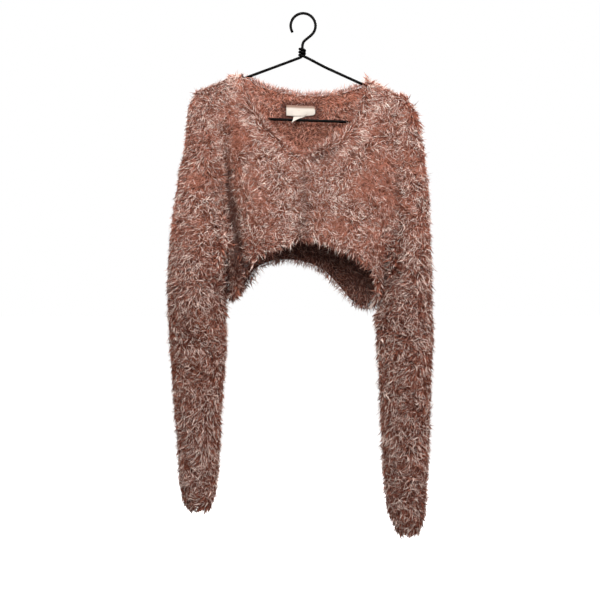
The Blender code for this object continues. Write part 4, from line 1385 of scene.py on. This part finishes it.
def label_stitches(label, trim):
    """The row of stitches that holds the label by its upper edge."""
    low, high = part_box("neck_label")
    tree = BVHTree.FromObject(label, bpy.context.evaluated_depsgraph_get())
    points = []
    for step in range(SEAM_STEPS + 1):
        x = low.x + LABEL_SEAM + (high.x - low.x - 2 * LABEL_SEAM) * step / SEAM_STEPS
        across = (x - low.x) / (high.x - low.x)
        z = label_outline(low, high, across)[2] - LABEL_SEAM
        hit = tree.ray_cast(Vector((x, -LABEL_RAY, z)), Vector((0, 1, 0)))[0]
        points.append((x, hit.y, z))
    mesh = bpy.data.meshes.new("seam")
    mesh.from_pydata(points, [(step, step + 1) for step in range(SEAM_STEPS)], [])
    seam = link(bpy.data.objects.new("seam", mesh))
    stitch = stitch_shape(trim.stitch_length)
    row = run_tree(seam, stitch_tree(), "label_stitches", {
        "Stitch": stitch,
        "Pitch": trim.stitch_length * STITCH_PITCH,
        "Material": thread_material(),
    })
    bpy.data.objects.remove(stitch, do_unlink=True)
    return row


class CARDIGAN_OT_label(bpy.types.Operator):
    """Makes the bare satin label inside the neck, its stitches and its folded tag"""

    bl_idname = "cardigan.label"
    bl_label = "Sew in the label"

    def execute(self, context):
        trim = context.scene.cardigan_trim
        material = satin_material(trim)
        made = []
        for node, sheet in (("neck_label", label_sheet), ("size_tag", tag_sheet)):
            draft = sheet(material)
            subdivided(draft, 1)
            thickened(draft, trim.label_thickness, 0)
            satin = applied(draft, node + "_satin")
            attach(satin, "root")
            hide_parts(node)
            made.append(satin)
        label, tag = made
        stitches = label_stitches(label, trim)
        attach(stitches, "root")
        return {"FINISHED"}


class CARDIGAN_OT_hanger(bpy.types.Operator):
    """Makes the wire hanger round and lacquers it"""

    bl_idname = "cardigan.hanger"
    bl_label = "Finish the hanger"

    def execute(self, context):
        shape = merged_copy("hanger")
        for vertex in shape.verts:
            vertex.co += vertex.normal * WIRE_SWELL
        join_quads(shape, WIRE_QUAD)
        draft = object_of("hanger_draft", shape, lacquer_material(context.scene.cardigan_trim))
        subdivided(draft, 1)
        wire = applied(draft, "hanger_wire")
        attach(wire, "root")
        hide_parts("hanger")
        return {"FINISHED"}


# The stage

def area_light(light, power):
    lamp = bpy.data.lights.new(light.name + "_light", "AREA")
    lamp.shape = "RECTANGLE"
    lamp.size, lamp.size_y = light.size
    lamp.energy = power
    lamp.color = light.colour
    made = link(bpy.data.objects.new(lamp.name, lamp))
    made.location = light.place
    made.visible_camera = False
    way = VIEW_MIDDLE + Vector((0, 0, light.raised)) - Vector(light.place)
    made.rotation_euler = way.to_track_quat("-Z", "Y").to_euler()


def studio_world(sky):
    """Even light that is weaker from below, behind which the camera sees plain white."""
    world = bpy.data.worlds.new("Studio")
    world.use_nodes = True
    tree = world.node_tree
    way = add_node(tree, "ShaderNodeTexCoord").outputs["Generated"]
    height = add_node(tree, "ShaderNodeSeparateXYZ", {0: way}).outputs["Z"]
    strength = add_node(tree, "ShaderNodeMapRange", {
        "Value": height, "From Min": ROOM_LOW, "From Max": ROOM_HIGH, "To Min": GROUND_LIGHT,
        "To Max": sky}).outputs["Result"]
    even = tree.nodes["Background"]
    even.inputs["Color"].default_value = ROOM_COLOUR
    tree.links.new(strength, even.inputs["Strength"])
    white = add_node(tree, "ShaderNodeBackground", {"Color": (1, 1, 1, 1), "Strength": 1.0})
    ray = add_node(tree, "ShaderNodeLightPath")
    blend = add_node(tree, "ShaderNodeMixShader", {
        0: ray.outputs["Is Camera Ray"], 1: even.outputs[0], 2: white.outputs[0]})
    tree.links.new(blend.outputs[0], tree.nodes["World Output"].inputs["Surface"])
    return world


class CARDIGAN_OT_stage(bpy.types.Operator):
    """Sets the pale floor, the soft lights and the camera"""

    bl_idname = "cardigan.stage"
    bl_label = "Set the stage"

    def execute(self, context):
        stage = context.scene.cardigan_stage
        corners = [(-1, -1), (1, -1), (1, 1), (-1, 1)]
        floor = mesh_object(
            "floor", [(x * FLOOR_REACH, y * FLOOR_REACH, stage.floor_height) for x, y in corners],
            [[0, 1, 2, 3]], floor_material(stage.floor_glow))
        floor.visible_diffuse = False
        floor.visible_glossy = False
        floor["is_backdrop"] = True
        for light in LIGHTS:
            area_light(light, getattr(stage, light.name + "_power"))
        context.scene.world = studio_world(stage.sky)
        context.scene.view_settings.view_transform = "Standard"

        camera = bpy.data.cameras.new("camera")
        camera.sensor_width = FRAME_WIDTH
        camera.lens = camera.sensor_width * stage.camera_distance / stage.view_width
        camera.clip_end = VIEW_END
        view = link(bpy.data.objects.new("camera", camera))
        view.location = VIEW_MIDDLE - Vector((0, stage.camera_distance, 0))
        view.rotation_euler = (math.pi / 2, 0, 0)
        context.scene.camera = view
        return {"FINISHED"}


# Registration

OPERATORS = (
    CARDIGAN_OT_knit, CARDIGAN_OT_lashes, CARDIGAN_OT_label, CARDIGAN_OT_hanger, CARDIGAN_OT_stage,
)
SETTINGS = {
    "cardigan_yarn": YarnSettings,
    "cardigan_trim": TrimSettings,
    "cardigan_stage": StageSettings,
}


class CARDIGAN_PT_panel(bpy.types.Panel):
    """Lists the settings and the steps in order"""

    bl_idname = "CARDIGAN_PT_panel"
    bl_label = "Furry cardigan"
    bl_space_type = "VIEW_3D"
    bl_region_type = "UI"
    bl_category = "Cardigan"

    def draw(self, context):
        for name, group in SETTINGS.items():
            box = self.layout.box()
            box.label(text=group.__doc__)
            for setting in group.__annotations__:
                box.prop(getattr(context.scene, name), setting)
        for operator in OPERATORS:
            self.layout.operator(operator.bl_idname)


CLASSES = (*SETTINGS.values(), *OPERATORS, CARDIGAN_PT_panel)


def register():
    for made in CLASSES:
        bpy.utils.register_class(made)
    for name, group in SETTINGS.items():
        setattr(bpy.types.Scene, name, bpy.props.PointerProperty(type=group))


def unregister():
    for name in SETTINGS:
        delattr(bpy.types.Scene, name)
    for made in reversed(CLASSES):
        bpy.utils.unregister_class(made)


def main():
    register()
    bpy.ops.cardigan.knit()
    bpy.ops.cardigan.lashes()
    bpy.ops.cardigan.label()
    bpy.ops.cardigan.hanger()
    bpy.ops.cardigan.stage()
    boxes = {"cad": cad_box, "visual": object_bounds()}
    sizes = {name: [list(corner) for corner in box] for name, box in boxes.items()}


if __name__ == "__main__":
    main()
